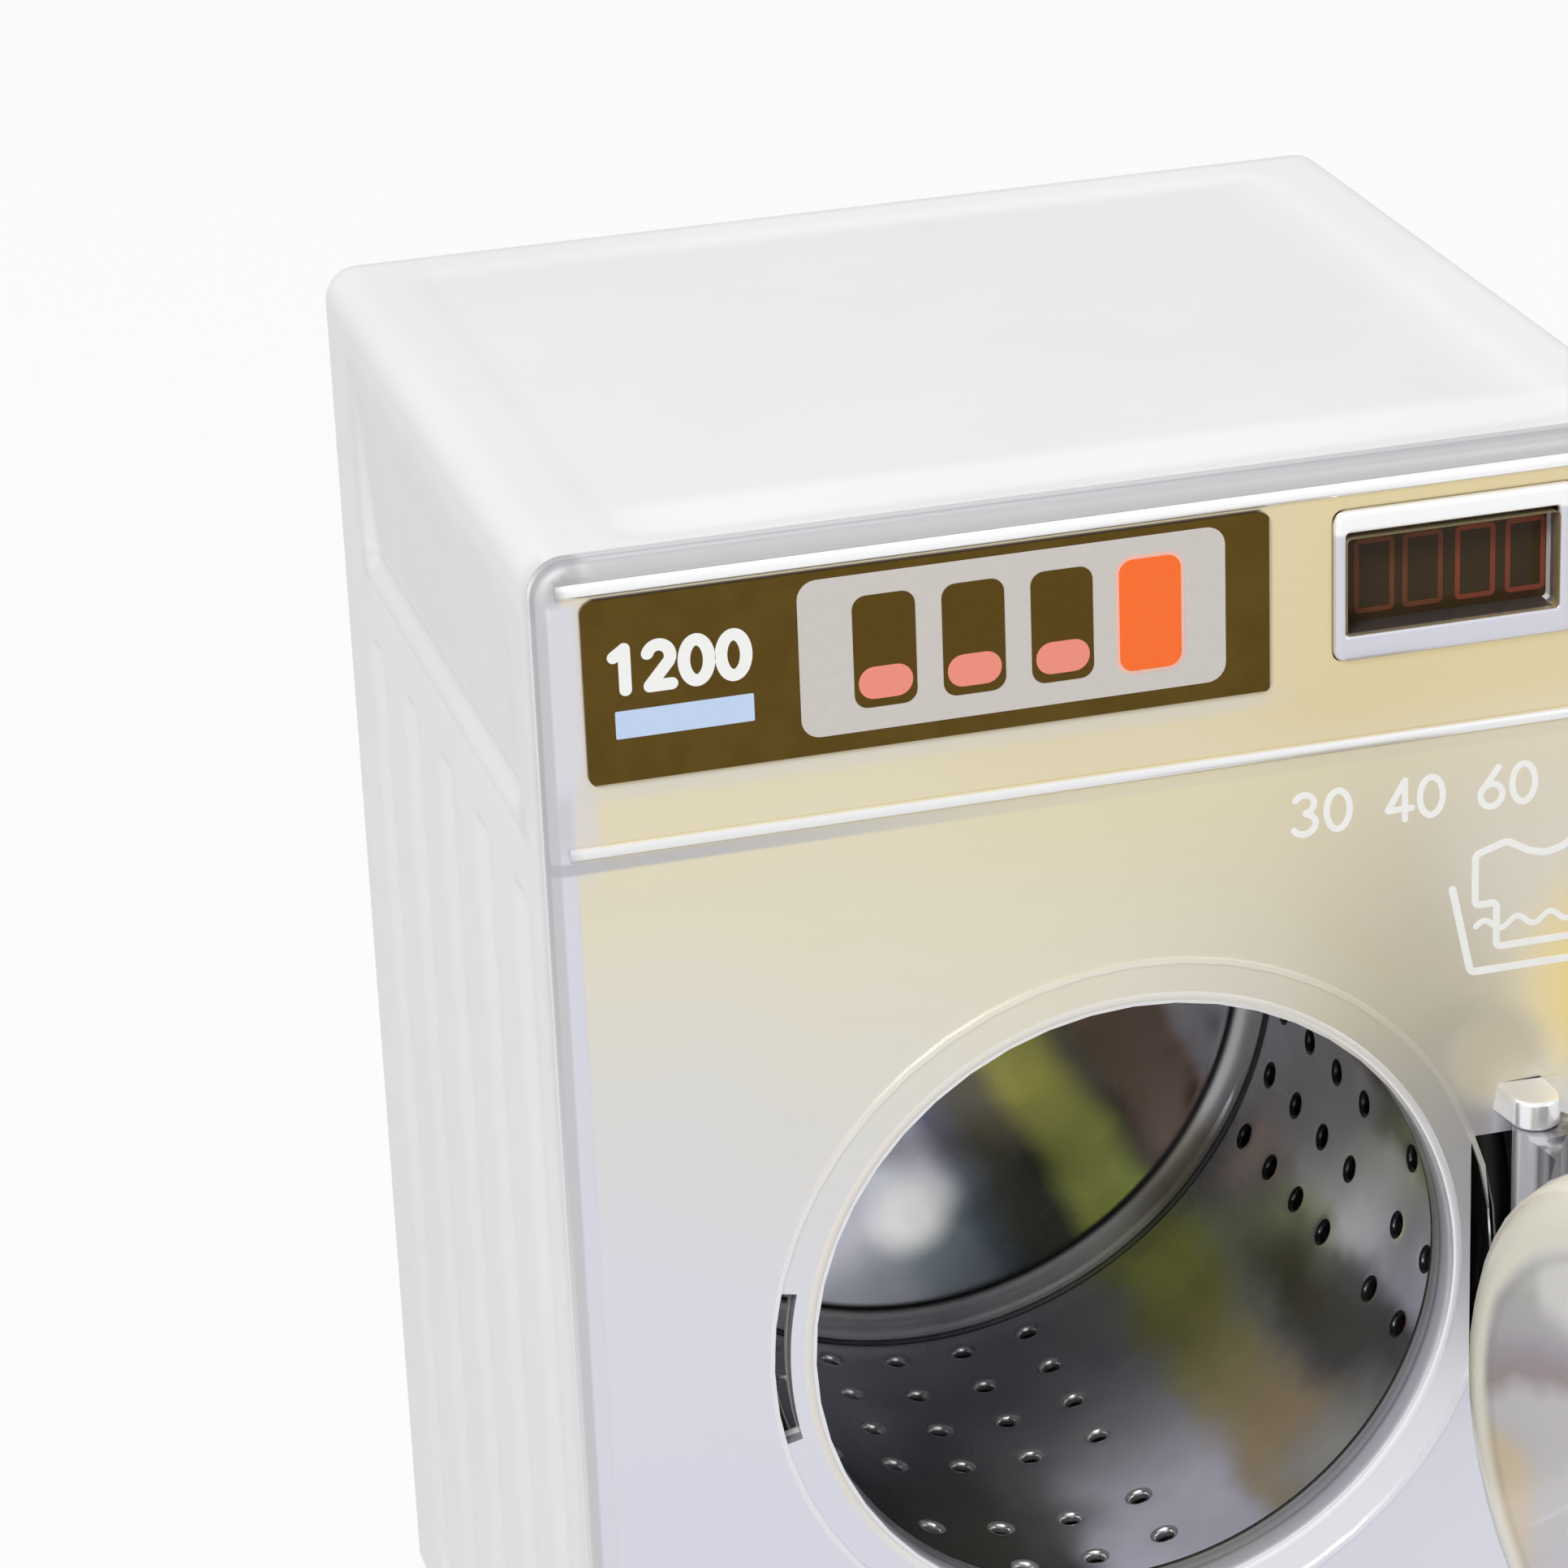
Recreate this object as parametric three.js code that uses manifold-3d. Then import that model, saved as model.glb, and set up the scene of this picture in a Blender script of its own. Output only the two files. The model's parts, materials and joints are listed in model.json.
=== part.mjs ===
// A battery-driven toy washing machine at doll scale, in millimetres, +Z up, front towards -Y.
// The origin is the centre of the flat underside. The porthole door stands open at rest.
import * as THREE from 'three'
import { mergeVertices } from 'three/addons/utils/BufferGeometryUtils.js'
import Module from 'manifold-3d'

// Cabinet
const cabinetWidth = 110
const cabinetDepth = 97
const cabinetHeight = 155
const cornerRadius = 3.5
const shellWall = 2.2
const backWall = 2.5
const backEdgeSoftness = 2.2
const plinthHeight = 2
const plinthInset = 3.5
const floorThickness = 2.2

// Clearances: between pieces that run or pass, and between flat faces that meet
const clearance = 0.3
const seam = 0.1

// Top tray and side relief
const trayDepth = 0.4
const trayMargin = 8.8
const trayFrontMargin = 4.6
const trayBackMargin = 7
const trayRadius = 4
const gripDepth = 1.4
const gripTopDepth = 0.14
const gripTopDrop = 9
const gripBottomDrop = 26
const gripFrontMargin = 13
const gripBackMargin = 15
const fluteCount = 5
const fluteWidth = 9
const fluteDepth = 0.7
const fluteShoulderWidth = 5
const fluteShoulderDepth = 0.5
const fluteTopDrop = 36
const fluteBottomHeight = 8
const fluteFrontMargin = 13
const fluteBackMargin = 17.6

// Front panel
const panelThickness = 2.4
const panelSoftness = 1.4
const spigotWall = 1.5
const spigotDepth = 3
const beadRadius = 0.75
const beadSink = 0.2
const beadSides = 10
const beadMargin = 2
const topBeadDrop = 2.6
const lowerBeadDrop = 27.7
const plinthBeadHeight = 23

// Display and control label, measured from the top and the middle of the panel
const displayLeft = 19.8
const displayWidth = 24.1
const displayTopDrop = 4.6
const displayHeight = 14.8
const bezelHeight = 0.8
const bezelRadius = 1
const bezelLeftRim = 1.2
const bezelRightRim = 2
const bezelTopRim = 2.7
const windowRadius = 0.4
const windowOverlap = 1.2
const windowThickness = 0.8
const cardThickness = 0.8
const displayFrameWall = 1
const labelLeft = -50.9
const labelWidth = 64.7
const labelTopDrop = 3.7
const labelHeight = 17.7
const labelThickness = 0.25
const labelRadius = 1.2

// Porthole
const portholeDrop = 83.3
const portholeRadius = 32.1
const lipWall = 1.6
const lipDepth = 5
const ribRadius = 36.5
const ribWidth = 0.5
const ribHeight = 0.25
const slotInnerRadius = 34.6
const slotOuterRadius = 36.2
const slotHalfAngle = 12.9
const pocketLeft = 34.1
const pocketWidth = 10.5
const pocketHalfHeight = 12.7

// Hinge and door
const hingeSide = 40.2
const hingeProud = 3.5
const lugRadius = 4
const lugHeight = 3
const lugNeckHalfWidth = 3.2
const lugGap = 30
const barrelRadius = 3.1
const hingePinRadius = 1
const doorRestAngle = 99
const doorRadius = 36.3
const doorThickness = 6.3
const doorPanelGap = 0.4
const doorWindowRadius = 27.6
const doorRebateRadius = 32.8
const doorRebateDepth = 2.6
const doorEdgeSoftness = 2
const bowlFlangeThickness = 1.1
const bowlMouthRadius = 28.9
const bowlFaceRadius = 23.5
const bowlReach = 14
const bowlCorner = 3.6
const bowlWall = 1.3
const bowlDraft = 1
const retainerThickness = 0.8
const hookHalfAngle = 7
const hookThickness = 0.9
const hookLength = 3.9
const gripTabReach = 2.2
const gripTabHalfAngle = 11
const gripTabThickness = 2.2
const gripTabSetback = 1
const armTrim = 0.4

// Drum
const drumInnerRadius = 40.5
const drumWall = 1
const drumMouthRadius = 34.6
const drumFrontDrop = 7
const drumBackClear = 21.7
const drumDome = 4
const drumCove = 2.2
const domeRings = [0.65, 0.3]
const holeRadius = 0.8
const holeSides = 4
const holePatches = 4
const holeColumns = 5
const holePitchAngle = 10.74
const patchStartAngle = -28.76
const holeRows = 6
const holeRowPitch = 8.08
const holeBackMargin = 7.06
const holeBandGap = 5.46
const holeBandRow = 4
const hubRadius = 6
const shaftRadius = 2.5
const hubSocketFloor = 1.4

// Drum carrier, bearing and drive
const carrierGap = 2.6
const carrierThickness = 2.4
const carrierTopDrop = 42
const carrierRadius = 2
const bushWall = 2
const bushFlange = 2
const bushFlangeThickness = 1
const bearingBossWall = 2.2
const bearingBossHeight = 0.4
const moduleCount = 110
const pressureAngle = 25
const gearBacklash = 0.15
const gearAddendum = 0.8
const gearDedendum = 1.15
const gearRimWidth = 4
const webRecess = 0.84
const drumGearTeeth = 40
const idlerTeeth = 30
const pinionTeeth = 10
const gearFace = 2.1
const gearLayerGap = 0.6
const gearHubRadius = 5
const idlerPinRadius = 1.2
const idlerPinHead = 2.2
const idlerPinHeadHeight = 0.7
const idlerBossWall = 1.6
const idlerOneAngle = -30
const idlerTwoAngle = -94
const motorAngle = -31

// Motor
const motorCanRadius = 10
const motorCanHalfFlat = 7.5
const motorCanLength = 21
const motorEndCapLength = 4
const motorBossRadius = 3
const motorBossHeight = 1.5
const motorShaftRadius = 1
const motorBoreDepth = 7
const endCapInset = 0.3
const clipThickness = 1.8
const clipHalfWidth = 4
const clipHook = 1.6
const clipHookHeight = 1.1

// Posts inside the shell, and screws
const postSize = 8
const postInset = 4
const carrierPostLow = 16.5
const carrierPostDrop = 9
const coverPostLow = 24
const coverPostDrop = 11.5
const screwRadius = 0.9
const screwLength = 6
const screwHeadRadius = 2
const screwHeadHeight = 1.3
const recessHalfLength = 1.4
const recessWidth = 0.6
const recessDepth = 0.7
const screwSink = 0.4
const cupWall = 1
const cupFloor = 1.2
const basePostTop = 13
const basePostFront = 9.9

// Rear cover, battery box and switch
const coverRim = 4.8
const coverLedge = 2
const coverBottom = 6.5
const coverFlangeThickness = 1.3
const coverSink = 0.2
const coverGrooves = 6
const coverGroovePitch = 6
const coverGrooveHeight = 2
const coverGrooveDepth = 0.5
const coverGrooveHalfLength = 28
const coverGrooveLow = 30
const cellRadius = 7.1
const cellBody = 49.2
const cellNub = 1.3
const cellNubRadius = 2.7
const contactThickness = 0.4
const springLength = 3.4
const springRadius = 3
const batteryWall = 1.2
const batteryTopDrop = 8
const contactHalfSize = 5.5
const springTipRadius = 1.8
const tabReach = 1.8
const tabThickness = 0.6
const tabSetback = 2
const tabHalfWidth = 1.5
const batteryCoverThickness = 1.4
const batteryEarReach = 7
const batteryEarHalfHeight = 4
const batteryBossLength = 6
const batteryTongueReach = 3
const batteryTongueHalfHeight = 4
const switchSideMargin = 15.8
const switchDrop = 50
const switchBodyWidth = 10
const switchBodyHeight = 6
const switchBodyDepth = 5
const switchTravel = 4
const switchKnobWidth = 4
const switchKnobHeight = 3.4
const switchKnobProud = 0.1
const switchSlotDepth = 2
const switchStemHalfHeight = 1
const knobGrooveWidth = 0.4
const knobGrooveDepth = 0.4

// Leads
const leadRadius = 0.6
const leadSides = 6
const leadSteps = 20

// Facets on round work
const ringSides = 48
const midSides = 24
const smallSides = 10
const boreSides = 8
const screwSides = 8
const shankSides = 6
const slotSegments = 8
const motorSegments = 8
const cornerSegments = 4

// Planes that several pieces share
const frontY = -cabinetDepth / 2
const backY = cabinetDepth / 2
const panelBackY = frontY + panelThickness
const shellFrontY = panelBackY + seam
const innerHalfWidth = cabinetWidth / 2 - shellWall
const innerTop = cabinetHeight - shellWall
const axisZ = cabinetHeight - portholeDrop
const hingeY = frontY - hingeProud
const drumFrontY = frontY + drumFrontDrop
const drumBackY = backY - drumBackClear
const drumOuterRadius = drumInnerRadius + drumWall
const carrierFrontY = drumBackY + drumWall + carrierGap
const carrierBackY = carrierFrontY + carrierThickness
const hubEndY = carrierFrontY - bushFlangeThickness - 3 * clearance
const layerY = (layer) => carrierBackY + bearingBossHeight + gearLayerGap + layer * (gearFace + gearLayerGap)
const coverFaceY = backY - coverSink
const coverInnerY = coverFaceY - coverFlangeThickness - seam
const postX = innerHalfWidth - postInset
const carrierTop = cabinetHeight - carrierTopDrop
const carrierPostHigh = carrierTop - carrierPostDrop
const switchX = innerHalfWidth - switchSideMargin
const switchZ = cabinetHeight - switchDrop
const gearModule = cabinetWidth / moduleCount
const radians = THREE.MathUtils.degToRad

const wasm = await Module()
wasm.setup()

// A closed geometry as a solid that can be joined and cut
function solid(geometry) {
  geometry.deleteAttribute('normal')
  geometry.deleteAttribute('uv')
  const merged = mergeVertices(geometry, 1e-4)
  const index = merged.index.array
  const kept = []
  for (let i = 0; i < index.length; i += 3) {
    const [a, b, c] = [index[i], index[i + 1], index[i + 2]]
    if (a !== b && b !== c && c !== a) kept.push(a, b, c)
  }
  const vertProperties = new Float32Array(merged.attributes.position.array)
  const body = (corners) => new wasm.Manifold(
    new wasm.Mesh({ numProp: 3, vertProperties, triVerts: new Uint32Array(corners) }))
  const made = body(kept)
  if (made.volume() > 0) return made
  // A turned profile that ran the other way has its faces pointing in
  return body(kept.reverse())
}

function finished(name, shape, material) {
  const mesh = shape.getMesh()
  const geometry = new THREE.BufferGeometry()
  geometry.setAttribute('position', new THREE.BufferAttribute(mesh.vertProperties, 3))
  geometry.setIndex(new THREE.BufferAttribute(mesh.triVerts, 1))
  geometry.computeVertexNormals()
  const part = new THREE.Mesh(geometry, material)
  part.name = name
  return part
}

function block(x0, x1, y0, y1, z0, z1) {
  const geometry = new THREE.BoxGeometry(x1 - x0, y1 - y0, z1 - z0)
  geometry.translate((x0 + x1) / 2, (y0 + y1) / 2, (z0 + z1) / 2)
  return solid(geometry)
}

function rodAlongY(radius, x, z, y0, y1, sides = smallSides, endRadius = radius) {
  const geometry = new THREE.CylinderGeometry(endRadius, radius, y1 - y0, sides)
  geometry.translate(x, (y0 + y1) / 2, z)
  return solid(geometry)
}

function rodAlongZ(radius, x, y, z0, z1, sides = smallSides) {
  const geometry = new THREE.CylinderGeometry(radius, radius, z1 - z0, sides)
  geometry.rotateX(Math.PI / 2)
  geometry.translate(x, y, (z0 + z1) / 2)
  return solid(geometry)
}

function rodAlongX(radius, y, z, x0, x1, sides = smallSides, endRadius = radius) {
  const geometry = new THREE.CylinderGeometry(endRadius, radius, x1 - x0, sides)
  geometry.rotateZ(-Math.PI / 2)
  geometry.translate((x0 + x1) / 2, y, z)
  return solid(geometry)
}

// An outline in X and Z carried from y0 to y1
function plate(outline, y0, y1, curveSegments = cornerSegments) {
  const geometry = new THREE.ExtrudeGeometry(outline, { depth: y1 - y0, bevelEnabled: false, curveSegments })
  geometry.rotateX(Math.PI / 2)
  geometry.translate(0, y1, 0)
  return solid(geometry)
}

// An outline in X and Y carried from z0 to z1
function column(outline, z0, z1, curveSegments = cornerSegments) {
  const geometry = new THREE.ExtrudeGeometry(outline, { depth: z1 - z0, bevelEnabled: false, curveSegments })
  geometry.translate(0, 0, z0)
  return solid(geometry)
}

// A plate whose edges are rounded over at the end that faces the given way along Y
function softPlate(outline, y0, y1, softness, facing) {
  const spare = 2 * softness
  const geometry = new THREE.ExtrudeGeometry(outline, {
    depth: y1 - y0 + spare - 2 * softness,
    bevelThickness: softness,
    bevelSize: softness,
    bevelOffset: -softness,
    bevelSegments: 3,
    curveSegments: cornerSegments,
  })
  geometry.rotateX(Math.PI / 2)
  geometry.translate(0, facing < 0 ? y1 + spare - softness : y1 - softness, 0)
  const wide = 2 * cabinetWidth + 2 * cabinetHeight
  const excess = facing < 0
    ? block(-wide, wide, y1, y1 + 2 * spare, -wide, wide)
    : block(-wide, wide, y0 - 2 * spare, y0, -wide, wide)
  return solid(geometry).subtract(excess)
}

function roundedOutline(x0, x1, z0, z1, radius) {
  const outline = new THREE.Shape()
  outline.moveTo(x0 + radius, z0)
  outline.lineTo(x1 - radius, z0)
  outline.absarc(x1 - radius, z0 + radius, radius, -Math.PI / 2, 0, false)
  outline.lineTo(x1, z1 - radius)
  outline.absarc(x1 - radius, z1 - radius, radius, 0, Math.PI / 2, false)
  outline.lineTo(x0 + radius, z1)
  outline.absarc(x0 + radius, z1 - radius, radius, Math.PI / 2, Math.PI, false)
  outline.lineTo(x0, z0 + radius)
  outline.absarc(x0 + radius, z0 + radius, radius, Math.PI, 1.5 * Math.PI, false)
  return outline
}

function polygon(points) {
  return new THREE.Shape(points.map(([x, z]) => new THREE.Vector2(x, z)))
}

// A sector of a ring round the porthole axis, in X and Z, angles in degrees
function ringSector(inner, outer, from, to, x, z) {
  const outline = new THREE.Shape()
  outline.absarc(x, z, outer, radians(from), radians(to), false)
  outline.absarc(x, z, inner, radians(to), radians(from), true)
  return outline
}

// A closed profile of radius and Y turned round the Y axis through x and z
function turned(profile, x, z, sides = ringSides) {
  const points = profile.map(([r, y]) => new THREE.Vector2(r, y))
  const geometry = new THREE.LatheGeometry([...points, points[0].clone()], sides)
  geometry.translate(x, 0, z)
  return solid(geometry)
}

function joined(shapes) {
  return shapes.reduce((whole, shape) => whole.add(shape))
}

function cut(shape, tools) {
  return tools.reduce((rest, tool) => rest.subtract(tool), shape)
}

const mirrored = (make) => [make(-1), make(1)]

// Materials
const finish = (color, roughness, metalness) => new THREE.MeshStandardMaterial({ color, roughness, metalness })
const plastic = (color, roughness) => finish(color, roughness, 0)
const metal = (color, roughness) => finish(color, roughness, 1)
const whiteShell = plastic(0xe9eae9, 0.45)
const champagne = metal(0xd9ccae, 0.35)
const chrome = metal(0xc9cacf, 0.15)
const drumFinish = metal(0x4a4a50, 0.15)
const smoked = plastic(0x2c1d0a, 0.1)
const cardBrown = plastic(0x3a2a12, 0.5)
const labelBrown = plastic(0x5f4711, 0.35)
const clearDoor = plastic(0xe9e4d2, 0.08)
clearDoor.transparent = true
clearDoor.opacity = 0.4
const greyInner = plastic(0xb9bcc0, 0.5)
const nylon = plastic(0xf1efe6, 0.5)
const acetal = plastic(0xdfe3e6, 0.4)
const steel = metal(0xb4b6b8, 0.3)
const brass = metal(0xc9a24b, 0.3)
const cellJacket = plastic(0x3a4f78, 0.35)
const blackPlastic = plastic(0x1d1e20, 0.4)
const redLead = plastic(0xb3261e, 0.5)
const blackLead = plastic(0x1a1a1a, 0.5)

const model = new THREE.Group()

// A screw along Y: a flat head with a crossed recess at the origin, and a plain shank
function screwSolid() {
  const head = rodAlongY(screwHeadRadius, 0, 0, 0, screwHeadHeight, screwSides)
  const shankEnd = screwHeadHeight + screwLength
  const shank = rodAlongY(screwRadius, 0, 0, screwHeadHeight - seam, shankEnd, shankSides)
  const arm = recessHalfLength
  const cross = [
    block(-arm, arm, -1, recessDepth, -recessWidth / 2, recessWidth / 2),
    block(-recessWidth / 2, recessWidth / 2, -1, recessDepth, -arm, arm),
  ]
  return cut(head.add(shank), cross)
}

const screwShape = screwSolid()

function placeScrew(name, position, rotation) {
  const screw = finished(name, screwShape, steel)
  screw.position.set(...position)
  screw.rotation.set(...rotation)
  model.add(screw)
}

const holeRadiusForScrew = screwRadius + clearance
const headHoleRadius = screwHeadRadius + clearance
const counterboreDepth = screwHeadHeight + screwSink + seam
const cupRadius = headHoleRadius + cupWall
const cupInnerY = coverFaceY - counterboreDepth - cupFloor
const holeDepthForScrew = screwLength + 1

// Where screws and posts stand
const sides = [-1, 1]
const carrierScrewZ = [carrierPostLow, carrierPostHigh]
const coverScrewZ = [coverPostLow, cabinetHeight - coverPostDrop]
const basePostY = [frontY + basePostFront, carrierFrontY - clearance - postSize / 2]
const coverRebateX = cabinetWidth / 2 - coverRim
const coverRebateTop = cabinetHeight - coverRim
const coverOpenX = coverRebateX - coverLedge
const coverOpenBottom = coverBottom + coverLedge
const coverOpenTop = coverRebateTop - coverLedge
const postBackY = backY - backWall

function sideGrip(side) {
  const face = side * cabinetWidth / 2
  const outside = face + side
  const [low, high] = [cabinetHeight - gripBottomDrop, cabinetHeight - gripTopDrop]
  const wedge = [
    [outside, low], [outside, high], [face - side * gripTopDepth, high], [face - side * gripDepth, low],
  ]
  return plate(polygon(wedge), frontY + gripFrontMargin, backY - gripBackMargin)
}

function sideFlutes(side) {
  const face = side * cabinetWidth / 2
  const first = frontY + fluteFrontMargin
  const pitch = (backY - fluteBackMargin - first) / (fluteCount - 1)
  const shoulderX = face - side * fluteShoulderDepth
  return Array.from({ length: fluteCount }, (_, i) => {
    const y = first + i * pitch
    const half = fluteWidth / 2
    const shoulder = fluteShoulderWidth / 2
    const hollow = [
      [face + side, y - half], [face, y - half], [shoulderX, y - shoulder], [face - side * fluteDepth, y],
      [shoulderX, y + shoulder], [face, y + half], [face + side, y + half],
    ]
    return column(polygon(hollow), fluteBottomHeight, cabinetHeight - fluteTopDrop)
  })
}

function postColumn(side, y0, y1, z0, z1) {
  const inner = postX - postSize / 2
  const wallX = innerHalfWidth + shellWall / 2
  return side < 0 ? block(-wallX, -inner, y0, y1, z0, z1) : block(inner, wallX, y0, y1, z0, z1)
}

function frontOutline() {
  const half = cabinetWidth / 2
  return roundedOutline(-half, half, plinthHeight, cabinetHeight, cornerRadius)
}

function makeShell() {
  const outline = frontOutline()
  const outer = softPlate(outline, shellFrontY, backY, backEdgeSoftness, 1)
  const inside = block(-innerHalfWidth, innerHalfWidth, shellFrontY - 1, postBackY, -1, innerTop)
  const rebate = block(-coverRebateX, coverRebateX, coverInnerY, backY + 1, coverBottom, coverRebateTop)
  const opening = block(-coverOpenX, coverOpenX, postBackY - 1, backY + 1, coverOpenBottom, coverOpenTop)
  const trayX = cabinetWidth / 2 - trayMargin
  const trayY = [frontY + trayFrontMargin, backY - trayBackMargin]
  const trayOutline = roundedOutline(-trayX, trayX, ...trayY, trayRadius)
  const tray = column(trayOutline, cabinetHeight - trayDepth, cabinetHeight + 1)
  const grips = mirrored(sideGrip)
  const flutes = mirrored(sideFlutes).flat()
  const body = cut(outer, [inside, rebate, opening, tray, ...grips, ...flutes])

  const posts = []
  const holes = []
  const half = postSize / 2
  const carrierPostFrontY = carrierBackY + clearance
  for (const side of sides) {
    const top = cabinetHeight - coverPostDrop
    const rearY = [carrierPostFrontY, postBackY + seam]
    posts.push(postColumn(side, ...rearY, carrierPostLow - half, coverPostLow + half))
    posts.push(postColumn(side, ...rearY, carrierPostHigh - half, carrierPostHigh + half))
    posts.push(postColumn(side, ...rearY, top - half, top + half))
    for (const y of basePostY) {
      const z = plinthHeight + floorThickness
      posts.push(postColumn(side, y - half, y + half, z + clearance, basePostTop))
      holes.push(rodAlongZ(holeRadiusForScrew, side * postX, y, z - 1, z + holeDepthForScrew, boreSides))
    }
    for (const z of carrierScrewZ) {
      const y1 = carrierPostFrontY + holeDepthForScrew - carrierThickness
      holes.push(rodAlongY(holeRadiusForScrew, side * postX, z, carrierPostFrontY - 1, y1, boreSides))
    }
    for (const z of coverScrewZ) {
      const screwEndY = coverFaceY - counterboreDepth - holeDepthForScrew
      holes.push(rodAlongY(holeRadiusForScrew, side * postX, z, screwEndY, backY, boreSides))
      holes.push(rodAlongY(cupRadius + clearance, side * postX, z, cupInnerY - clearance, backY + 1))
    }
  }
  return cut(joined([body, ...posts]), holes)
}

const displayRight = displayLeft + displayWidth
const displayTop = cabinetHeight - displayTopDrop
const displayBottom = displayTop - displayHeight
const windowFrame = {
  x0: displayLeft + bezelLeftRim,
  x1: displayRight - bezelRightRim,
  z0: displayBottom + bezelTopRim,
  z1: displayTop - bezelTopRim,
}

function arcRib(y0, y1) {
  const rim = ringSector(ribRadius - ribWidth / 2, ribRadius + ribWidth / 2, 0, 359.9, 0, axisZ)
  return plate(rim, y0, y1, ringSides / 2)
}

function bead(z) {
  const half = cabinetWidth / 2 - beadMargin
  return rodAlongX(beadRadius, frontY + beadSink, z, -half, half, beadSides)
}

function hingeLug(up) {
  const z0 = axisZ + up * lugGap / 2
  const z1 = z0 + up * lugHeight
  const [low, high] = [Math.min(z0, z1), Math.max(z0, z1)]
  const knuckle = rodAlongZ(lugRadius, hingeSide, hingeY, low, high, midSides)
  const neckX = [hingeSide - lugNeckHalfWidth, hingeSide + lugNeckHalfWidth]
  return knuckle.add(block(...neckX, hingeY + 1, frontY + 1, low, high))
}

function makeFrontPanel() {
  const skin = softPlate(frontOutline(), frontY, panelBackY, panelSoftness, -1)

  const outerX = innerHalfWidth - clearance
  const outerTop = innerTop - clearance
  const spigotLow = plinthHeight + floorThickness + shellWall + clearance
  const spigotEnd = panelBackY + spigotDepth
  const spigotHollow = block(-outerX + spigotWall, outerX - spigotWall, panelBackY - 1, spigotEnd + 1,
    spigotLow + spigotWall, outerTop - spigotWall)
  const spigot = block(-outerX, outerX, panelBackY - seam, spigotEnd, spigotLow, outerTop)
    .subtract(spigotHollow)

  const bezel = plate(roundedOutline(displayLeft, displayRight, displayBottom, displayTop, bezelRadius),
    frontY - bezelHeight, frontY + seam)
  const lensX0 = windowFrame.x0 - windowOverlap - clearance
  const lensX1 = windowFrame.x1 + windowOverlap + clearance
  const lensZ0 = windowFrame.z0 - windowOverlap - clearance
  const lensZ1 = windowFrame.z1 + windowOverlap + clearance
  const stackDepth = windowThickness + cardThickness + 3 * seam
  const frame = block(lensX0 - displayFrameWall, lensX1 + displayFrameWall, panelBackY - seam,
    panelBackY + stackDepth, lensZ0 - displayFrameWall, lensZ1 + displayFrameWall)
  const frameHollow = block(lensX0, lensX1, panelBackY, panelBackY + stackDepth + 1, lensZ0, lensZ1)
  const { x0, x1, z0, z1 } = windowFrame
  const windowHole = plate(roundedOutline(x0, x1, z0, z1, windowRadius),
    frontY - bezelHeight - 1, panelBackY + 1)

  const lipEnd = frontY + lipDepth
  const lipOuter = rodAlongY(portholeRadius + lipWall, 0, axisZ, panelBackY - seam, lipEnd, ringSides)
  const porthole = rodAlongY(portholeRadius, 0, axisZ, frontY - 1, lipEnd + 1, ringSides)
  const ring = arcRib(frontY - ribHeight, frontY + seam)
  const slot = plate(
    ringSector(slotInnerRadius, slotOuterRadius, 180 - slotHalfAngle, 180 + slotHalfAngle, 0, axisZ),
    frontY - 1, panelBackY + 1, slotSegments)
  const pocket = block(pocketLeft, pocketLeft + pocketWidth, frontY - 1, panelBackY + 1,
    axisZ - pocketHalfHeight, axisZ + pocketHalfHeight)
  const pocketBridge = arcRib(frontY - ribHeight, panelBackY)

  const lugs = [hingeLug(-1), hingeLug(1)]
  const pinHole = rodAlongZ(hingePinRadius + clearance, hingeSide, hingeY,
    axisZ - lugGap / 2 - lugHeight - 1, axisZ + lugGap / 2 + lugHeight - 1)

  const beads = [
    bead(cabinetHeight - topBeadDrop), bead(cabinetHeight - lowerBeadDrop), bead(plinthBeadHeight),
  ]
  const full = joined([skin, spigot, bezel, frame, lipOuter, ring, ...beads, ...lugs])
  const opened = cut(full, [frameHollow, windowHole, slot, pocket.subtract(pocketBridge), porthole, pinHole])
  return opened
}

function makeLabel() {
  const top = cabinetHeight - labelTopDrop
  const outline = roundedOutline(labelLeft, labelLeft + labelWidth, top - labelHeight, top, labelRadius)
  return plate(outline, frontY - labelThickness - seam / 2, frontY - seam / 2)
}

function displayLayer(y, thickness) {
  return block(windowFrame.x0 - windowOverlap, windowFrame.x1 + windowOverlap, y, y + thickness,
    windowFrame.z0 - windowOverlap, windowFrame.z1 + windowOverlap)
}

function makeBasePlate() {
  const plinthX = cabinetWidth / 2 - plinthInset
  const plinthY = cabinetDepth / 2 - plinthInset
  const top = plinthHeight + floorThickness
  const plinth = column(roundedOutline(-plinthX, plinthX, -plinthY, plinthY, cornerRadius), 0, plinthHeight)
  const slabX = innerHalfWidth - clearance
  const slab = block(-slabX, slabX, panelBackY + clearance, postBackY - clearance, plinthHeight - seam, top)
  const holes = sides.flatMap((side) => basePostY.flatMap((y) => [
    rodAlongZ(holeRadiusForScrew, side * postX, y, -1, top + 1, boreSides),
    rodAlongZ(headHoleRadius, side * postX, y, -1, screwHeadHeight + seam),
  ]))
  return cut(plinth.add(slab), holes)
}

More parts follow.
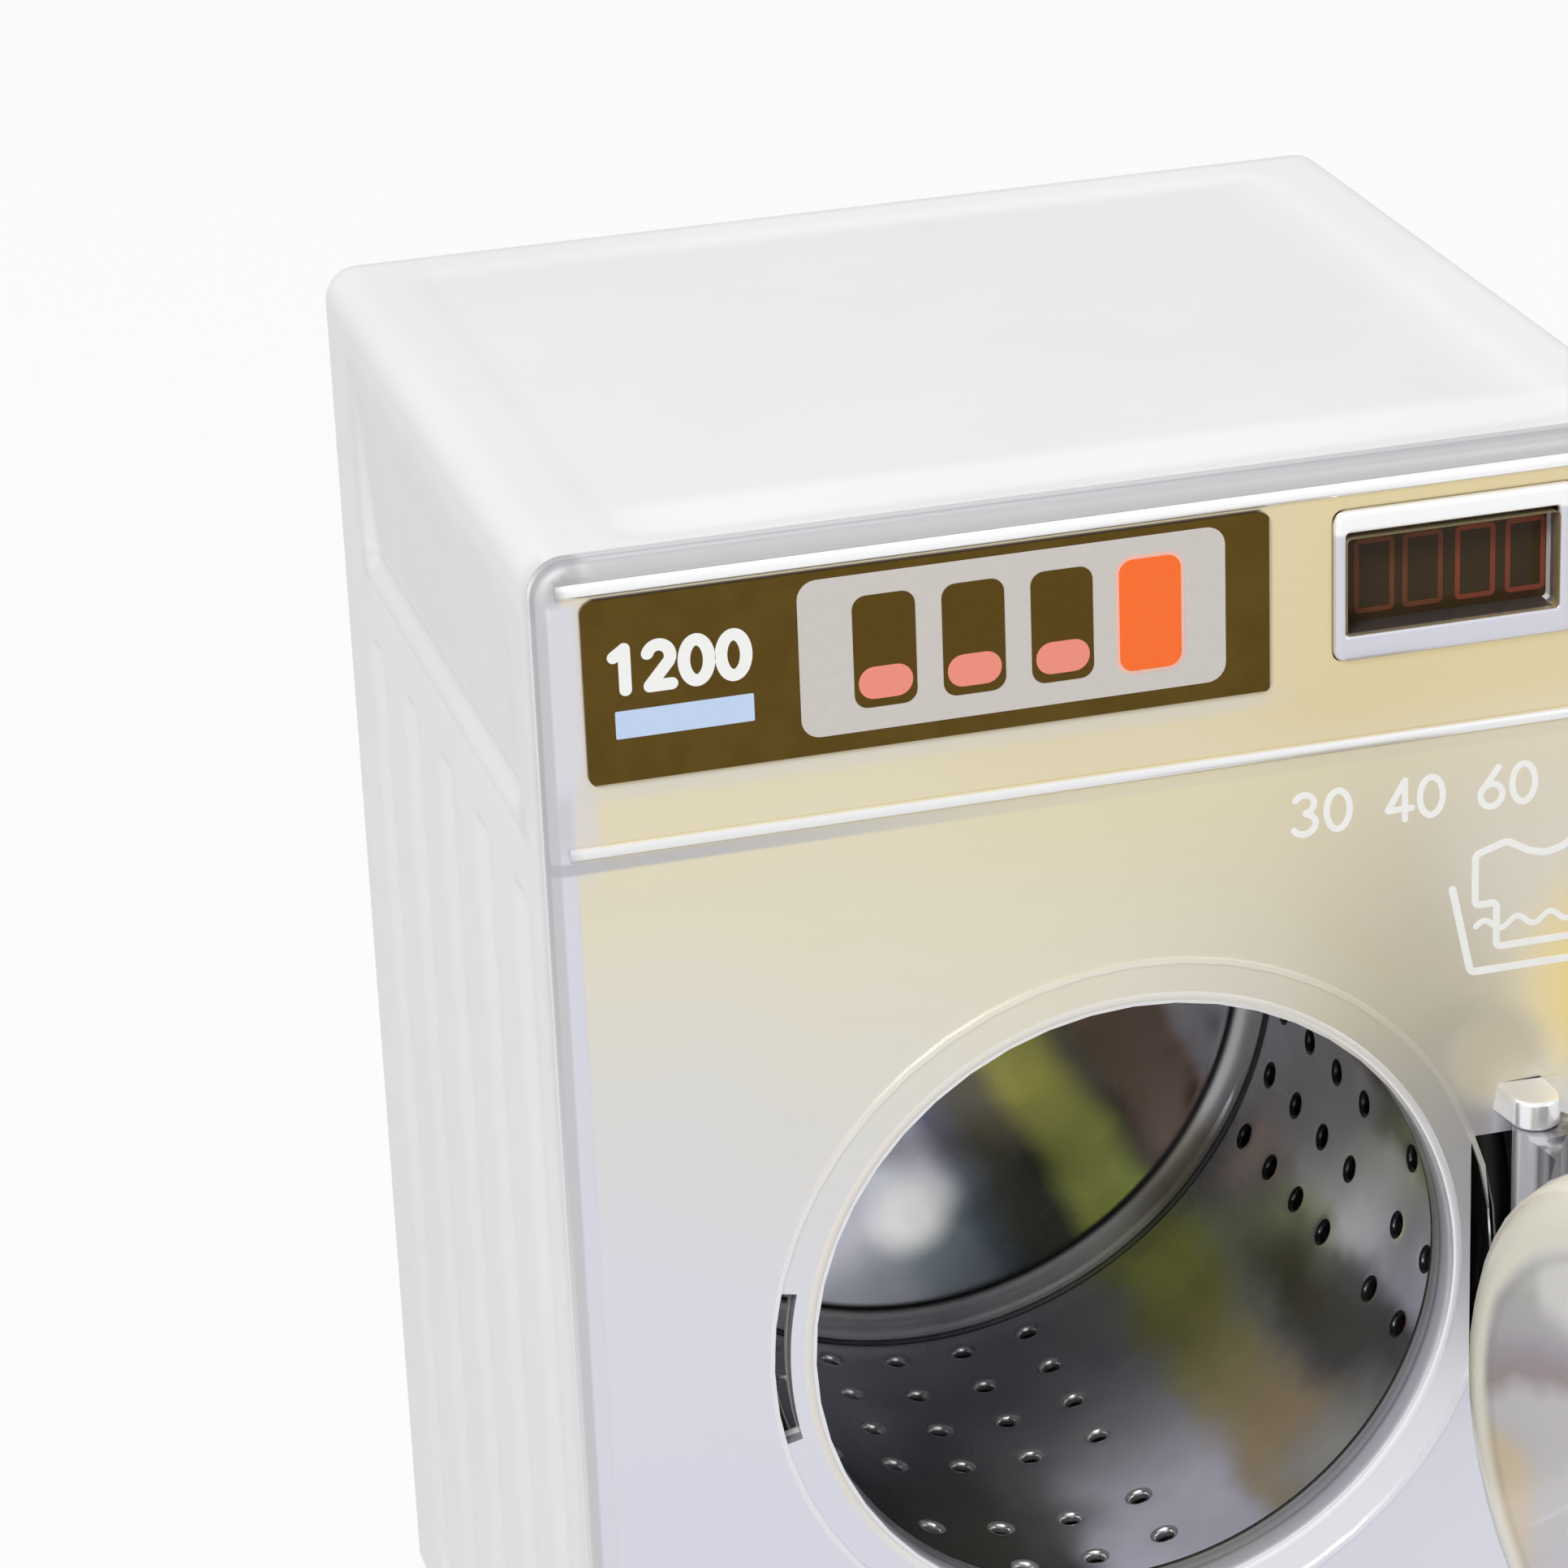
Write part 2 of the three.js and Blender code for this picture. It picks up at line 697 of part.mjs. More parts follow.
// Rear cover with the battery box moulded into it
const cellInnerHalf = (cellBody + cellNub + springLength + 2 * contactThickness + 4 * clearance) / 2
const boxDepth = 2 * cellRadius + 2 * clearance
const boxInnerTop = cabinetHeight - batteryTopDrop
const boxInnerBottom = boxInnerTop - 4 * cellRadius - 3 * clearance
const batteryCoverFaceY = coverFaceY
const batteryCoverInnerY = batteryCoverFaceY - batteryCoverThickness
const boxInnerFrontY = batteryCoverInnerY - clearance - boxDepth
const cellY = boxInnerFrontY + clearance + cellRadius
const upperCellZ = boxInnerTop - clearance - cellRadius
const lowerCellZ = boxInnerBottom + clearance + cellRadius
const earZ = (boxInnerTop + boxInnerBottom) / 2
const earX = cellInnerHalf + batteryEarReach - batteryEarHalfHeight + clearance
const tabY = boxInnerFrontY + tabSetback

function makeRearCover() {
  const flangeX = coverRebateX - clearance
  const flange = block(-flangeX, flangeX, coverInnerY + seam, coverFaceY,
    coverBottom + clearance, coverRebateTop - clearance)
  const boxOuterX = cellInnerHalf + batteryWall
  const box = block(-boxOuterX, boxOuterX, boxInnerFrontY - batteryWall, coverFaceY - seam,
    boxInnerBottom - batteryWall, boxInnerTop + batteryWall)
  const boxInside = block(-cellInnerHalf, cellInnerHalf, boxInnerFrontY, coverFaceY + 1,
    boxInnerBottom, boxInnerTop)
  const cups = sides.flatMap((side) => coverScrewZ.map((z) =>
    rodAlongY(cupRadius, side * postX, z, cupInnerY, coverFaceY - seam)))
  const earBoss = rodAlongY(batteryEarHalfHeight, earX, earZ, cupInnerY - seam - batteryBossLength,
    coverFaceY - seam, midSides)
  const earRecess = block(cellInnerHalf - 1, earX + batteryEarHalfHeight + clearance,
    cupInnerY - seam, coverFaceY + 1,
    earZ - batteryEarHalfHeight - clearance, earZ + batteryEarHalfHeight + clearance)
  const earHoleEnd = cupInnerY - batteryBossLength + 1
  const earHole = rodAlongY(holeRadiusForScrew, earX, earZ, earHoleEnd, backY, boreSides)
  const tongueNotch = block(-cellInnerHalf - batteryTongueReach - clearance, -cellInnerHalf + 1,
    coverInnerY - batteryCoverThickness - clearance, coverInnerY + seam,
    earZ - batteryTongueHalfHeight - clearance, earZ + batteryTongueHalfHeight + clearance)
  const tabSlotHalf = tabHalfWidth + clearance
  const tabSlots = [upperCellZ, lowerCellZ].map((z) => block(cellInnerHalf - 1, boxOuterX + 1,
    tabY - clearance, tabY + tabThickness + clearance, z - tabSlotHalf, z + tabSlotHalf))
  const screwHoles = sides.flatMap((side) => coverScrewZ.flatMap((z) => [
    rodAlongY(holeRadiusForScrew, side * postX, z, cupInnerY - 1, coverFaceY + 1, boreSides),
    rodAlongY(headHoleRadius, side * postX, z, coverFaceY - counterboreDepth, coverFaceY + 1),
  ]))
  const switchSlot = block(switchX - (switchKnobWidth + switchTravel) / 2 - clearance,
    switchX + (switchKnobWidth + switchTravel) / 2 + clearance, coverInnerY - 1, coverFaceY + 1,
    switchZ - switchKnobHeight / 2 - clearance, switchZ + switchKnobHeight / 2 + clearance)
  const grooves = Array.from({ length: coverGrooves }, (_, i) => {
    const z = coverGrooveLow + i * coverGroovePitch
    const y = coverFaceY - coverGrooveDepth
    return block(-coverGrooveHalfLength, coverGrooveHalfLength, y, coverFaceY + 1, z, z + coverGrooveHeight)
  })
  return cut(joined([flange, box, earBoss, ...cups]),
    [boxInside, earRecess, earHole, tongueNotch, ...tabSlots, ...screwHoles, switchSlot, ...grooves])
}

function makeBatteryCover() {
  const gap = clearance
  const lid = block(-cellInnerHalf + gap, cellInnerHalf - gap, batteryCoverInnerY, batteryCoverFaceY,
    boxInnerBottom + gap, boxInnerTop - gap)
  const earBridge = block(cellInnerHalf - 1, earX, batteryCoverInnerY, batteryCoverFaceY,
    earZ - batteryEarHalfHeight, earZ + batteryEarHalfHeight)
  const ear = block(cellInnerHalf + clearance, earX + batteryEarHalfHeight, cupInnerY, batteryCoverFaceY,
    earZ - batteryEarHalfHeight, earZ + batteryEarHalfHeight)
  const tongueY1 = coverInnerY - seam
  const tongue = block(-cellInnerHalf - batteryTongueReach, -cellInnerHalf + 2, tongueY1 - 1, tongueY1,
    earZ - batteryTongueHalfHeight, earZ + batteryTongueHalfHeight)
  const neck = block(-cellInnerHalf + gap, -cellInnerHalf + 2, tongueY1 - 1, batteryCoverInnerY + seam,
    earZ - batteryTongueHalfHeight, earZ + batteryTongueHalfHeight)
  const hole = rodAlongY(holeRadiusForScrew, earX, earZ, cupInnerY - 1, batteryCoverFaceY + 1, boreSides)
  const headHole = rodAlongY(headHoleRadius, earX, earZ,
    batteryCoverFaceY - counterboreDepth, batteryCoverFaceY + 1)
  return cut(joined([lid, ear, earBridge, tongue, neck]), [hole, headHole])
}

// A cell along X, its raised end towards the given side
function makeCell(towards, z) {
  const nubEnd = cellInnerHalf - contactThickness - 2 * clearance
  const bodyEnd = nubEnd - cellNub
  const body = [bodyEnd - cellBody, bodyEnd]
  const nub = [bodyEnd - seam, nubEnd]
  const place = ([x0, x1]) => (towards > 0 ? [x0, x1] : [-x1, -x0])
  return rodAlongX(cellRadius, cellY, z, ...place(body), midSides)
    .add(rodAlongX(cellNubRadius, cellY, z, ...place(nub), smallSides))
}

function contactPlate(side, z0, z1) {
  const outer = cellInnerHalf - clearance
  const inner = outer - contactThickness
  const span = side > 0 ? [inner, outer] : [-outer, -inner]
  return block(...span, cellY - contactHalfSize, cellY + contactHalfSize, z0, z1)
}

function contactSpring(side, z) {
  const base = cellInnerHalf - clearance - contactThickness + seam
  const tip = base - springLength
  return side > 0
    ? rodAlongX(springTipRadius, cellY, z, tip, base, smallSides, springRadius)
    : rodAlongX(springRadius, cellY, z, -base, -tip, smallSides, springTipRadius)
}

function contactTab(z) {
  const start = cellInnerHalf - clearance - contactThickness
  return block(start, cellInnerHalf + batteryWall + tabReach, tabY, tabY + tabThickness,
    z - tabHalfWidth, z + tabHalfWidth)
}

// Slide switch behind the rear cover
const switchBackY = coverInnerY - clearance

function makeSwitchBody() {
  const half = switchBodyWidth / 2
  const body = block(switchX - half, switchX + half, switchBackY - switchBodyDepth, switchBackY,
    switchZ - switchBodyHeight / 2, switchZ + switchBodyHeight / 2)
  const reach = (switchKnobWidth + switchTravel) / 2 + clearance
  const slotHalfHeight = switchStemHalfHeight + clearance
  const slot = block(switchX - reach, switchX + reach, switchBackY - switchSlotDepth, switchBackY + 1,
    switchZ - slotHalfHeight, switchZ + slotHalfHeight)
  return body.subtract(slot)
}

function makeSwitchSlider() {
  const x = switchX - switchTravel / 2
  const half = switchKnobWidth / 2
  const face = coverFaceY + switchKnobProud
  const level = (halfHeight) => [switchZ - halfHeight, switchZ + halfHeight]
  const knob = block(x - half, x + half, switchBackY + clearance, face, ...level(switchKnobHeight / 2))
  const stemY = [switchBackY - switchSlotDepth + clearance, switchBackY + 2 * clearance]
  const stem = block(x - half, x + half, ...stemY, ...level(switchStemHalfHeight))
  const grooves = [-1, 0, 1].map((i) => {
    const middle = x + i * switchKnobWidth / 4
    const grooveX = [middle - knobGrooveWidth / 2, middle + knobGrooveWidth / 2]
    return block(...grooveX, face - knobGrooveDepth, face + 1, ...level(switchKnobHeight))
  })
  return cut(knob.add(stem), grooves)
}

// Gears, on axes along Y through points in X and Z
const pitchRadius = (teeth) => gearModule * teeth / 2
const polar = (from, distance, angle) => ({
  x: from.x + distance * Math.cos(radians(angle)),
  z: from.z + distance * Math.sin(radians(angle)),
})
const drumAxis = { x: 0, z: axisZ }
const idlerOne = polar(drumAxis, pitchRadius(drumGearTeeth + pinionTeeth), idlerOneAngle)
const idlerTwo = polar(idlerOne, pitchRadius(idlerTeeth + pinionTeeth), idlerTwoAngle)
const motorAxis = polar(idlerTwo, pitchRadius(idlerTeeth + pinionTeeth), motorAngle)

// The outline of a spur gear with one tooth centred at the given angle, flanks as chords of the involute
function gearOutline(teeth, toothAngle, flankSteps) {
  const pitch = pitchRadius(teeth)
  const base = pitch * Math.cos(radians(pressureAngle))
  const root = pitch - gearDedendum * gearModule
  const tip = pitch + gearAddendum * gearModule
  const involute = (angle) => Math.tan(angle) - angle
  const halfAtPitch = Math.PI / (2 * teeth) - gearBacklash / (2 * pitch)
  const halfAt = (radius) => {
    const angle = radius > base ? Math.acos(base / radius) : 0
    return halfAtPitch + involute(radians(pressureAngle)) - involute(angle)
  }
  const radii = [root, ...Array.from({ length: flankSteps - 1 },
    (_, i) => Math.max(base, root) + (tip - Math.max(base, root)) * i / flankSteps), tip]
  const points = []
  for (let i = 0; i < teeth; i += 1) {
    const middle = radians(toothAngle) + 2 * Math.PI * i / teeth
    for (const r of radii) points.push([r, middle - halfAt(r)])
    for (const r of [...radii].reverse()) points.push([r, middle + halfAt(r)])
  }
  return polygon(points.map(([r, angle]) => [r * Math.cos(angle), r * Math.sin(angle)]))
}

// The tooth angle that puts a gear in mesh with one whose tooth angle is known
function meshAngle(teethOne, toothOne, teethTwo, lineAngle) {
  const phase = (lineAngle - toothOne) * teethOne / 360
  return lineAngle + 180 - (360 / teethTwo) * (0.5 - phase)
}

const drumGearTooth = 0
const idlerOneTooth = meshAngle(drumGearTeeth, drumGearTooth, pinionTeeth, idlerOneAngle)
const idlerTwoTooth = meshAngle(idlerTeeth, idlerOneTooth, pinionTeeth, idlerTwoAngle)
const motorTooth = meshAngle(idlerTeeth, idlerTwoTooth, pinionTeeth, motorAngle)

function gearWheel(teeth, toothAngle, layer, at, flankSteps) {
  const y0 = layerY(layer)
  const geometry = new THREE.ExtrudeGeometry(gearOutline(teeth, toothAngle, flankSteps), {
    depth: gearFace, bevelEnabled: false,
  })
  geometry.rotateX(Math.PI / 2)
  geometry.translate(at.x, y0 + gearFace, at.z)
  return solid(geometry)
}

function boreAt(radius, at) {
  return rodAlongY(radius, at.x, at.z, carrierFrontY, backY, smallSides)
}

function makeDrumGear() {
  const hub = rodAlongY(gearHubRadius, 0, axisZ, layerY(0), layerY(1), midSides)
  const rimInner = pitchRadius(drumGearTeeth) - gearRimWidth
  const web = rodAlongY(rimInner, 0, axisZ, layerY(0) + gearFace - webRecess, layerY(1), midSides)
    .subtract(rodAlongY(gearHubRadius + 1, 0, axisZ, layerY(0), layerY(1) + 1, midSides))
  const wheel = gearWheel(drumGearTeeth, drumGearTooth, 0, drumAxis, 1).subtract(web)
  return cut(wheel.add(hub), [boreAt(shaftRadius + clearance, drumAxis)])
}

// A small gear on one layer and a large one on the next, in one moulding
function makeIdler(at, smallLayer, toothAngle) {
  const small = gearWheel(pinionTeeth, toothAngle, smallLayer, at, 1)
  const large = gearWheel(idlerTeeth, toothAngle, smallLayer + 1, at, 1)
  const root = pitchRadius(pinionTeeth) - gearDedendum * gearModule
  const spacer = rodAlongY(root, at.x, at.z, layerY(smallLayer), layerY(smallLayer + 1) + seam, smallSides)
  return cut(joined([small, large, spacer]), [boreAt(idlerPinRadius + clearance, at)])
}

function makeMotorPinion() {
  const wheel = gearWheel(pinionTeeth, motorTooth, 2, motorAxis, 2)
  return wheel.subtract(boreAt(motorShaftRadius + clearance, motorAxis))
}

const idlerPinEndY = layerY(3) + idlerPinHeadHeight
const idlerBossFloorY = carrierBackY + bearingBossHeight

function makeIdlerPin(at) {
  const stem = rodAlongY(idlerPinRadius, at.x, at.z, carrierFrontY + 1, layerY(3), smallSides)
  const head = rodAlongY(idlerPinHead, at.x, at.z, layerY(3) - seam, idlerPinEndY, smallSides)
  return stem.add(head)
}

// A spacer ring on the second idler's pin lifts its gears one layer clear of the plate
function makeIdlerSpacer(at) {
  return rodAlongY(idlerPinHead, at.x, at.z, idlerBossFloorY + clearance, layerY(1) - clearance, smallSides)
    .subtract(boreAt(idlerPinRadius + clearance, at))
}

// The motor's section, flats facing the drum
const motorRadial = Math.atan2(motorAxis.z - axisZ, motorAxis.x)

function motorSection(radius, halfFlat) {
  const limit = Math.acos(halfFlat / radius)
  const outline = new THREE.Shape()
  outline.absarc(motorAxis.x, motorAxis.z, radius, motorRadial + limit, motorRadial + Math.PI - limit, false)
  outline.absarc(motorAxis.x, motorAxis.z, radius, motorRadial + Math.PI + limit,
    motorRadial + 2 * Math.PI - limit, false)
  return outline
}

const motorFaceY = carrierFrontY - clearance
const motorCanFrontY = motorFaceY - motorCanLength
const motorEndCapFrontY = motorCanFrontY - seam - motorEndCapLength

function makeMotorCan() {
  const section = motorSection(motorCanRadius, motorCanHalfFlat)
  const can = plate(section, motorCanFrontY, motorFaceY, motorSegments)
  const bossY = [motorFaceY - seam, motorFaceY + motorBossHeight]
  const boss = rodAlongY(motorBossRadius, motorAxis.x, motorAxis.z, ...bossY)
  const bore = rodAlongY(motorShaftRadius + clearance, motorAxis.x, motorAxis.z,
    motorFaceY - motorBoreDepth, motorFaceY + motorBossHeight + 1, smallSides)
  return can.add(boss).subtract(bore)
}

function makeMotorEndCap() {
  return plate(motorSection(motorCanRadius - endCapInset, motorCanHalfFlat - endCapInset), motorEndCapFrontY,
    motorEndCapFrontY + motorEndCapLength, motorSegments)
}

function makeMotorShaft() {
  return rodAlongY(motorShaftRadius, motorAxis.x, motorAxis.z,
    motorFaceY - motorBoreDepth + 1, layerY(3) - clearance, smallSides)
}

// One of the two clips that hold the motor against the plate, on the given tangential side
function motorClip(side) {
  const tangent = { x: -Math.sin(motorRadial) * side, z: Math.cos(motorRadial) * side }
  const radial = { x: Math.cos(motorRadial), z: Math.sin(motorRadial) }
  const corner = (t, r) => [
    motorAxis.x + tangent.x * t + radial.x * r,
    motorAxis.z + tangent.z * t + radial.z * r,
  ]
  const inner = motorCanRadius + clearance
  const outer = inner + clipThickness
  const w = clipHalfWidth
  const band = (t0, t1) => {
    const points = [corner(t0, -w), corner(t1, -w), corner(t1, w), corner(t0, w)]
    return polygon(side > 0 ? points : points.reverse())
  }
  const hookY1 = motorEndCapFrontY - clearance
  const arm = plate(band(inner, outer), hookY1 - clipHookHeight, carrierFrontY + 1)
  const hook = plate(band(inner - clipHook, outer), hookY1 - clipHookHeight, hookY1)
  return arm.add(hook)
}

function makeDrumCarrier() {
  const plateX = innerHalfWidth - clearance
  const low = plinthHeight + floorThickness + clearance
  const outline = roundedOutline(-plateX, plateX, low, carrierTop, carrierRadius)
  const slab = plate(outline, carrierFrontY, carrierBackY)
  const bossRadius = shaftRadius + bushWall + bearingBossWall + clearance
  const boss = rodAlongY(bossRadius, 0, axisZ, carrierBackY - seam, idlerBossFloorY, midSides)
  const pinBosses = [idlerOne, idlerTwo].map((at) => rodAlongY(idlerPinRadius + idlerBossWall, at.x, at.z,
    carrierBackY - seam, idlerBossFloorY, smallSides))
  const bushHoleRadius = shaftRadius + bushWall + 2 * clearance
  const bushHole = rodAlongY(bushHoleRadius, 0, axisZ, carrierFrontY - 1, backY, midSides)
  const pinHoles = [idlerOne, idlerTwo].map((at) => rodAlongY(idlerPinRadius + clearance, at.x, at.z,
    carrierFrontY + 1 - clearance, backY, smallSides))
  const motorHoleRadius = motorBossRadius + clearance
  const motorHole = rodAlongY(motorHoleRadius, motorAxis.x, motorAxis.z, carrierFrontY - 1, backY)
  const screwHoles = sides.flatMap((side) => carrierScrewZ.map((z) =>
    rodAlongY(holeRadiusForScrew, side * postX, z, carrierFrontY - 1, backY, boreSides)))
  return cut(joined([slab, boss, ...pinBosses, motorClip(-1), motorClip(1)]),
    [bushHole, ...pinHoles, motorHole, ...screwHoles])
}

function makeDrumBush() {
  const outer = shaftRadius + bushWall + clearance
  const body = rodAlongY(outer, 0, axisZ, carrierFrontY - clearance - seam, idlerBossFloorY, midSides)
  const flange = rodAlongY(outer + bushFlange, 0, axisZ,
    carrierFrontY - clearance - bushFlangeThickness, carrierFrontY - clearance, midSides)
  const bore = rodAlongY(shaftRadius + clearance, 0, axisZ, drumBackY - 1, backY, midSides)
  return body.add(flange).subtract(bore)
}

function makeDrum() {
  const [inner, outer] = [drumInnerRadius, drumOuterRadius]
  const domeInnerY = drumBackY - drumDome
  const domeAt = (r, face) => face - drumDome * (1 - (r / (inner - drumCove)) ** 2)
  const domeRadii = [inner - drumCove, ...domeRings.map((share) => inner * share)]
  const front = domeRadii.map((r) => [r, domeAt(r, drumBackY)])
  const back = domeRadii.map((r) => [r, domeAt(r, drumBackY) + drumWall])
  const profile = [
    [0, domeInnerY], ...[...front].reverse(), [inner, drumBackY - drumCove],
    [inner, drumFrontY + drumWall], [drumMouthRadius, drumFrontY + drumWall],
    [drumMouthRadius, drumFrontY], [outer, drumFrontY],
    [outer, drumBackY - drumCove], ...back,
    [0, domeInnerY + drumWall],
  ]
  const points = profile.map(([r, y]) => new THREE.Vector2(r, y))
  const geometry = new THREE.LatheGeometry(points, ringSides)
  geometry.translate(0, 0, axisZ)
  const shell = solid(geometry)
  const hub = rodAlongY(hubRadius, 0, axisZ, domeInnerY + seam, hubEndY, midSides)
  const socketY = [domeInnerY + hubSocketFloor, hubEndY + 1]
  const socket = rodAlongY(shaftRadius + clearance, 0, axisZ, ...socketY, midSides)
  return cut(shell.add(hub), [socket, drumHoles()])
}

function holeTool(radialAngle, y) {
  const length = drumWall * 4
  const geometry = new THREE.CylinderGeometry(holeRadius, holeRadius, length, holeSides)
  geometry.rotateZ(-Math.PI / 2)
  geometry.translate(drumInnerRadius + drumWall / 2, 0, 0)
  geometry.rotateY(-radians(radialAngle))
  geometry.translate(0, y, axisZ)
  return solid(geometry)
}

function drumHoles() {
  const tools = []
  for (let patch = 0; patch < holePatches; patch += 1) {
    for (let col = 0; col < holeColumns; col += 1) {
      for (let row = 0; row < holeRows; row += 1) {
        const angle = patchStartAngle + patch * 360 / holePatches + col * holePitchAngle
        const gap = row >= holeBandRow ? holeBandGap : 0
        tools.push(holeTool(angle, drumBackY - holeBackMargin - row * holeRowPitch - gap))
      }
    }
  }
  return wasm.Manifold.union(tools)
}

function makeDrumShaft() {
  return rodAlongY(shaftRadius, 0, axisZ, drumBackY - drumDome + hubSocketFloor + clearance,
    layerY(1) + gearLayerGap, midSides)
}

// The door is built closed, in its own frame, whose origin is on the hinge axis level with the porthole
const doorBackY = hingeProud - doorPanelGap
const doorFrontY = doorBackY - doorThickness
const rebateFloorY = doorBackY - doorRebateDepth

function makeDoorFrame() {
  const s = doorEdgeSoftness
  const profile = [
    [doorWindowRadius, doorFrontY + s], [doorWindowRadius + s * 0.4, doorFrontY + s * 0.35],
    [doorWindowRadius + s, doorFrontY], [doorRadius - s, doorFrontY],
    [doorRadius - s * 0.3, doorFrontY + s * 0.3], [doorRadius, doorFrontY + s], [doorRadius, doorBackY],
    [doorRebateRadius, doorBackY], [doorRebateRadius, rebateFloorY], [doorWindowRadius, rebateFloorY],
  ]
  const ring = turned(profile, -hingeSide, 0)
  const barrelHalf = lugGap / 2 - clearance
  const barrel = rodAlongZ(barrelRadius, 0, 0, -barrelHalf, barrelHalf, midSides)
  const armHalf = barrelHalf - armTrim
  const armInner = -hingeSide + Math.sqrt(doorRadius ** 2 - armHalf ** 2) - 1
  const arm = block(armInner, 0, -barrelRadius + armTrim, barrelRadius - armTrim, -armHalf, armHalf)
    .subtract(rodAlongY(doorRadius - 1.5, -hingeSide, 0, doorFrontY - 1, doorBackY + 1, ringSides))
  const tabOutline = ringSector(doorRadius - 1, doorRadius + gripTabReach,
    180 - gripTabHalfAngle, 180 + gripTabHalfAngle, -hingeSide, 0)
  const tabFrontY = doorFrontY + gripTabSetback
  const tab = plate(tabOutline, tabFrontY, tabFrontY + gripTabThickness, slotSegments)
  const hookMiddle = (slotInnerRadius + slotOuterRadius) / 2
  const hookOutline = ringSector(hookMiddle - hookThickness / 2, hookMiddle + hookThickness / 2,
    180 - hookHalfAngle, 180 + hookHalfAngle, -hingeSide, 0)
  const hook = plate(hookOutline, doorBackY - 1, doorBackY + hookLength, slotSegments)
  const pinHole = rodAlongZ(hingePinRadius + clearance, 0, 0, -barrelHalf - 1, barrelHalf + 1)
  return joined([ring, barrel, arm, tab, hook]).subtract(pinHole)
}

function makeDoorBowl() {
  const flangeY0 = rebateFloorY + clearance
  const flangeY1 = flangeY0 + bowlFlangeThickness
  const faceY = hingeProud + bowlReach
  const outerAt = (y) => bowlMouthRadius - bowlDraft * (y - flangeY1) / (faceY - flangeY1)
  const cornerY = faceY - bowlCorner
  const cornerX = Math.min(bowlFaceRadius, outerAt(cornerY) - bowlCorner)
  const steps = [0, 1, 2, 3]
  const cornerWidth = outerAt(cornerY) - cornerX
  const arc = (radius, wall) => steps.map((i) => {
    const angle = Math.PI / 2 * i / (steps.length - 1)
    return [cornerX + (cornerWidth - wall) * Math.cos(angle), cornerY + radius * Math.sin(angle)]
  })
  const outerArc = arc(bowlCorner, 0)
  const innerArc = arc(bowlCorner - bowlWall, bowlWall)
  const flangeOuter = doorRebateRadius - clearance
  const profile = [
    [0, faceY - bowlWall], ...innerArc.reverse(), [bowlMouthRadius - bowlWall, flangeY0],
    [flangeOuter, flangeY0], [flangeOuter, flangeY1], [bowlMouthRadius, flangeY1],
    ...outerArc, [0, faceY],
  ]
  const points = profile.map(([r, y]) => new THREE.Vector2(r, y))
  const geometry = new THREE.LatheGeometry(points, ringSides)
  geometry.translate(-hingeSide, 0, 0)
  return solid(geometry)
}

function makeDoorRetainer() {
  const y1 = doorBackY - seam
  const [inner, outer] = [bowlMouthRadius + clearance, doorRebateRadius - clearance]
  return turned([[inner, y1 - retainerThickness], [outer, y1 - retainerThickness], [outer, y1], [inner, y1]],
    -hingeSide, 0)
}

function makeHingePin() {
  const low = -lugGap / 2 - lugHeight + clearance
  const high = lugGap / 2 + lugHeight - 1 - clearance
  return rodAlongZ(hingePinRadius, hingeSide, hingeY, axisZ + low, axisZ + high)
}

// A lead along hand-set points
function makeLead(points) {
  const path = new THREE.CatmullRomCurve3(points.map((p) => new THREE.Vector3(...p)), false, 'centripetal')
  const section = new THREE.Shape()
  for (let i = 0; i < leadSides; i += 1) {
    const angle = 2 * Math.PI * i / leadSides
    const spot = [leadRadius * Math.cos(angle), leadRadius * Math.sin(angle)]
    if (i === 0) section.moveTo(...spot)
    else section.lineTo(...spot)
  }
  section.closePath()
  const geometry = new THREE.ExtrudeGeometry(section, { steps: leadSteps, extrudePath: path })
  return solid(geometry)
}

const tabEndX = cellInnerHalf + batteryWall + tabReach + clearance
const tabMidY = tabY + tabThickness / 2
const leadSideX = innerHalfWidth - 2.6
const terminal = (offset) => [
  motorAxis.x - Math.sin(motorRadial) * offset, motorEndCapFrontY - clearance,
  motorAxis.z + Math.cos(motorRadial) * offset,
]
const switchFrontY = switchBackY - switchBodyDepth - 1.5 * clearance

function returnLead() {
  const [x, y, z] = terminal(3)
  return makeLead([
    [tabEndX, tabMidY, lowerCellZ], [tabEndX + 5, tabMidY - 1, lowerCellZ - 1],
    [leadSideX - 5, tabMidY - 4, lowerCellZ - 8], [leadSideX, tabMidY - 9, lowerCellZ - 20],
    [leadSideX, y + 12, axisZ + 13], [leadSideX, y + 4, axisZ - 12], [leadSideX - 2, y - 3, z + 14],
    [x + 6, y - 5, z + 7], [x + 1, y - 3.5, z + 1], [x, y, z],
  ])
}

function feedLead() {
  return makeLead([
    [tabEndX, tabMidY, upperCellZ], [tabEndX + 4, tabMidY, upperCellZ - 1],
    [switchX + 7, tabMidY + 3, upperCellZ - 10], [switchX + 6, tabMidY + 5, switchZ + 12],
    [switchX + 2, switchFrontY - 2, switchZ + 4], [switchX + 1.5, switchFrontY, switchZ + 1],
  ])
}

function switchLead() {
  const [x, y, z] = terminal(-3)
  const overTopZ = carrierTop + 2.6
  return makeLead([
    [switchX - 3.5, switchFrontY, switchZ], [switchX - 3.5, switchFrontY - 1.8, switchZ + 3],
    [switchX - 2, carrierBackY + 1.5, carrierTop - 1], [switchX + 1, carrierFrontY + 1, overTopZ],
    [leadSideX - 5, carrierFrontY - 5, carrierTop - 3], [leadSideX, carrierFrontY - 13, carrierTop - 15],
    [leadSideX, y + 6, axisZ + 13], [leadSideX, y - 2, axisZ - 12], [leadSideX - 3, y - 8, z + 14],
    [x + 4, y - 7, z + 5], [x, y - 3, z], [x, y, z],
  ])
}

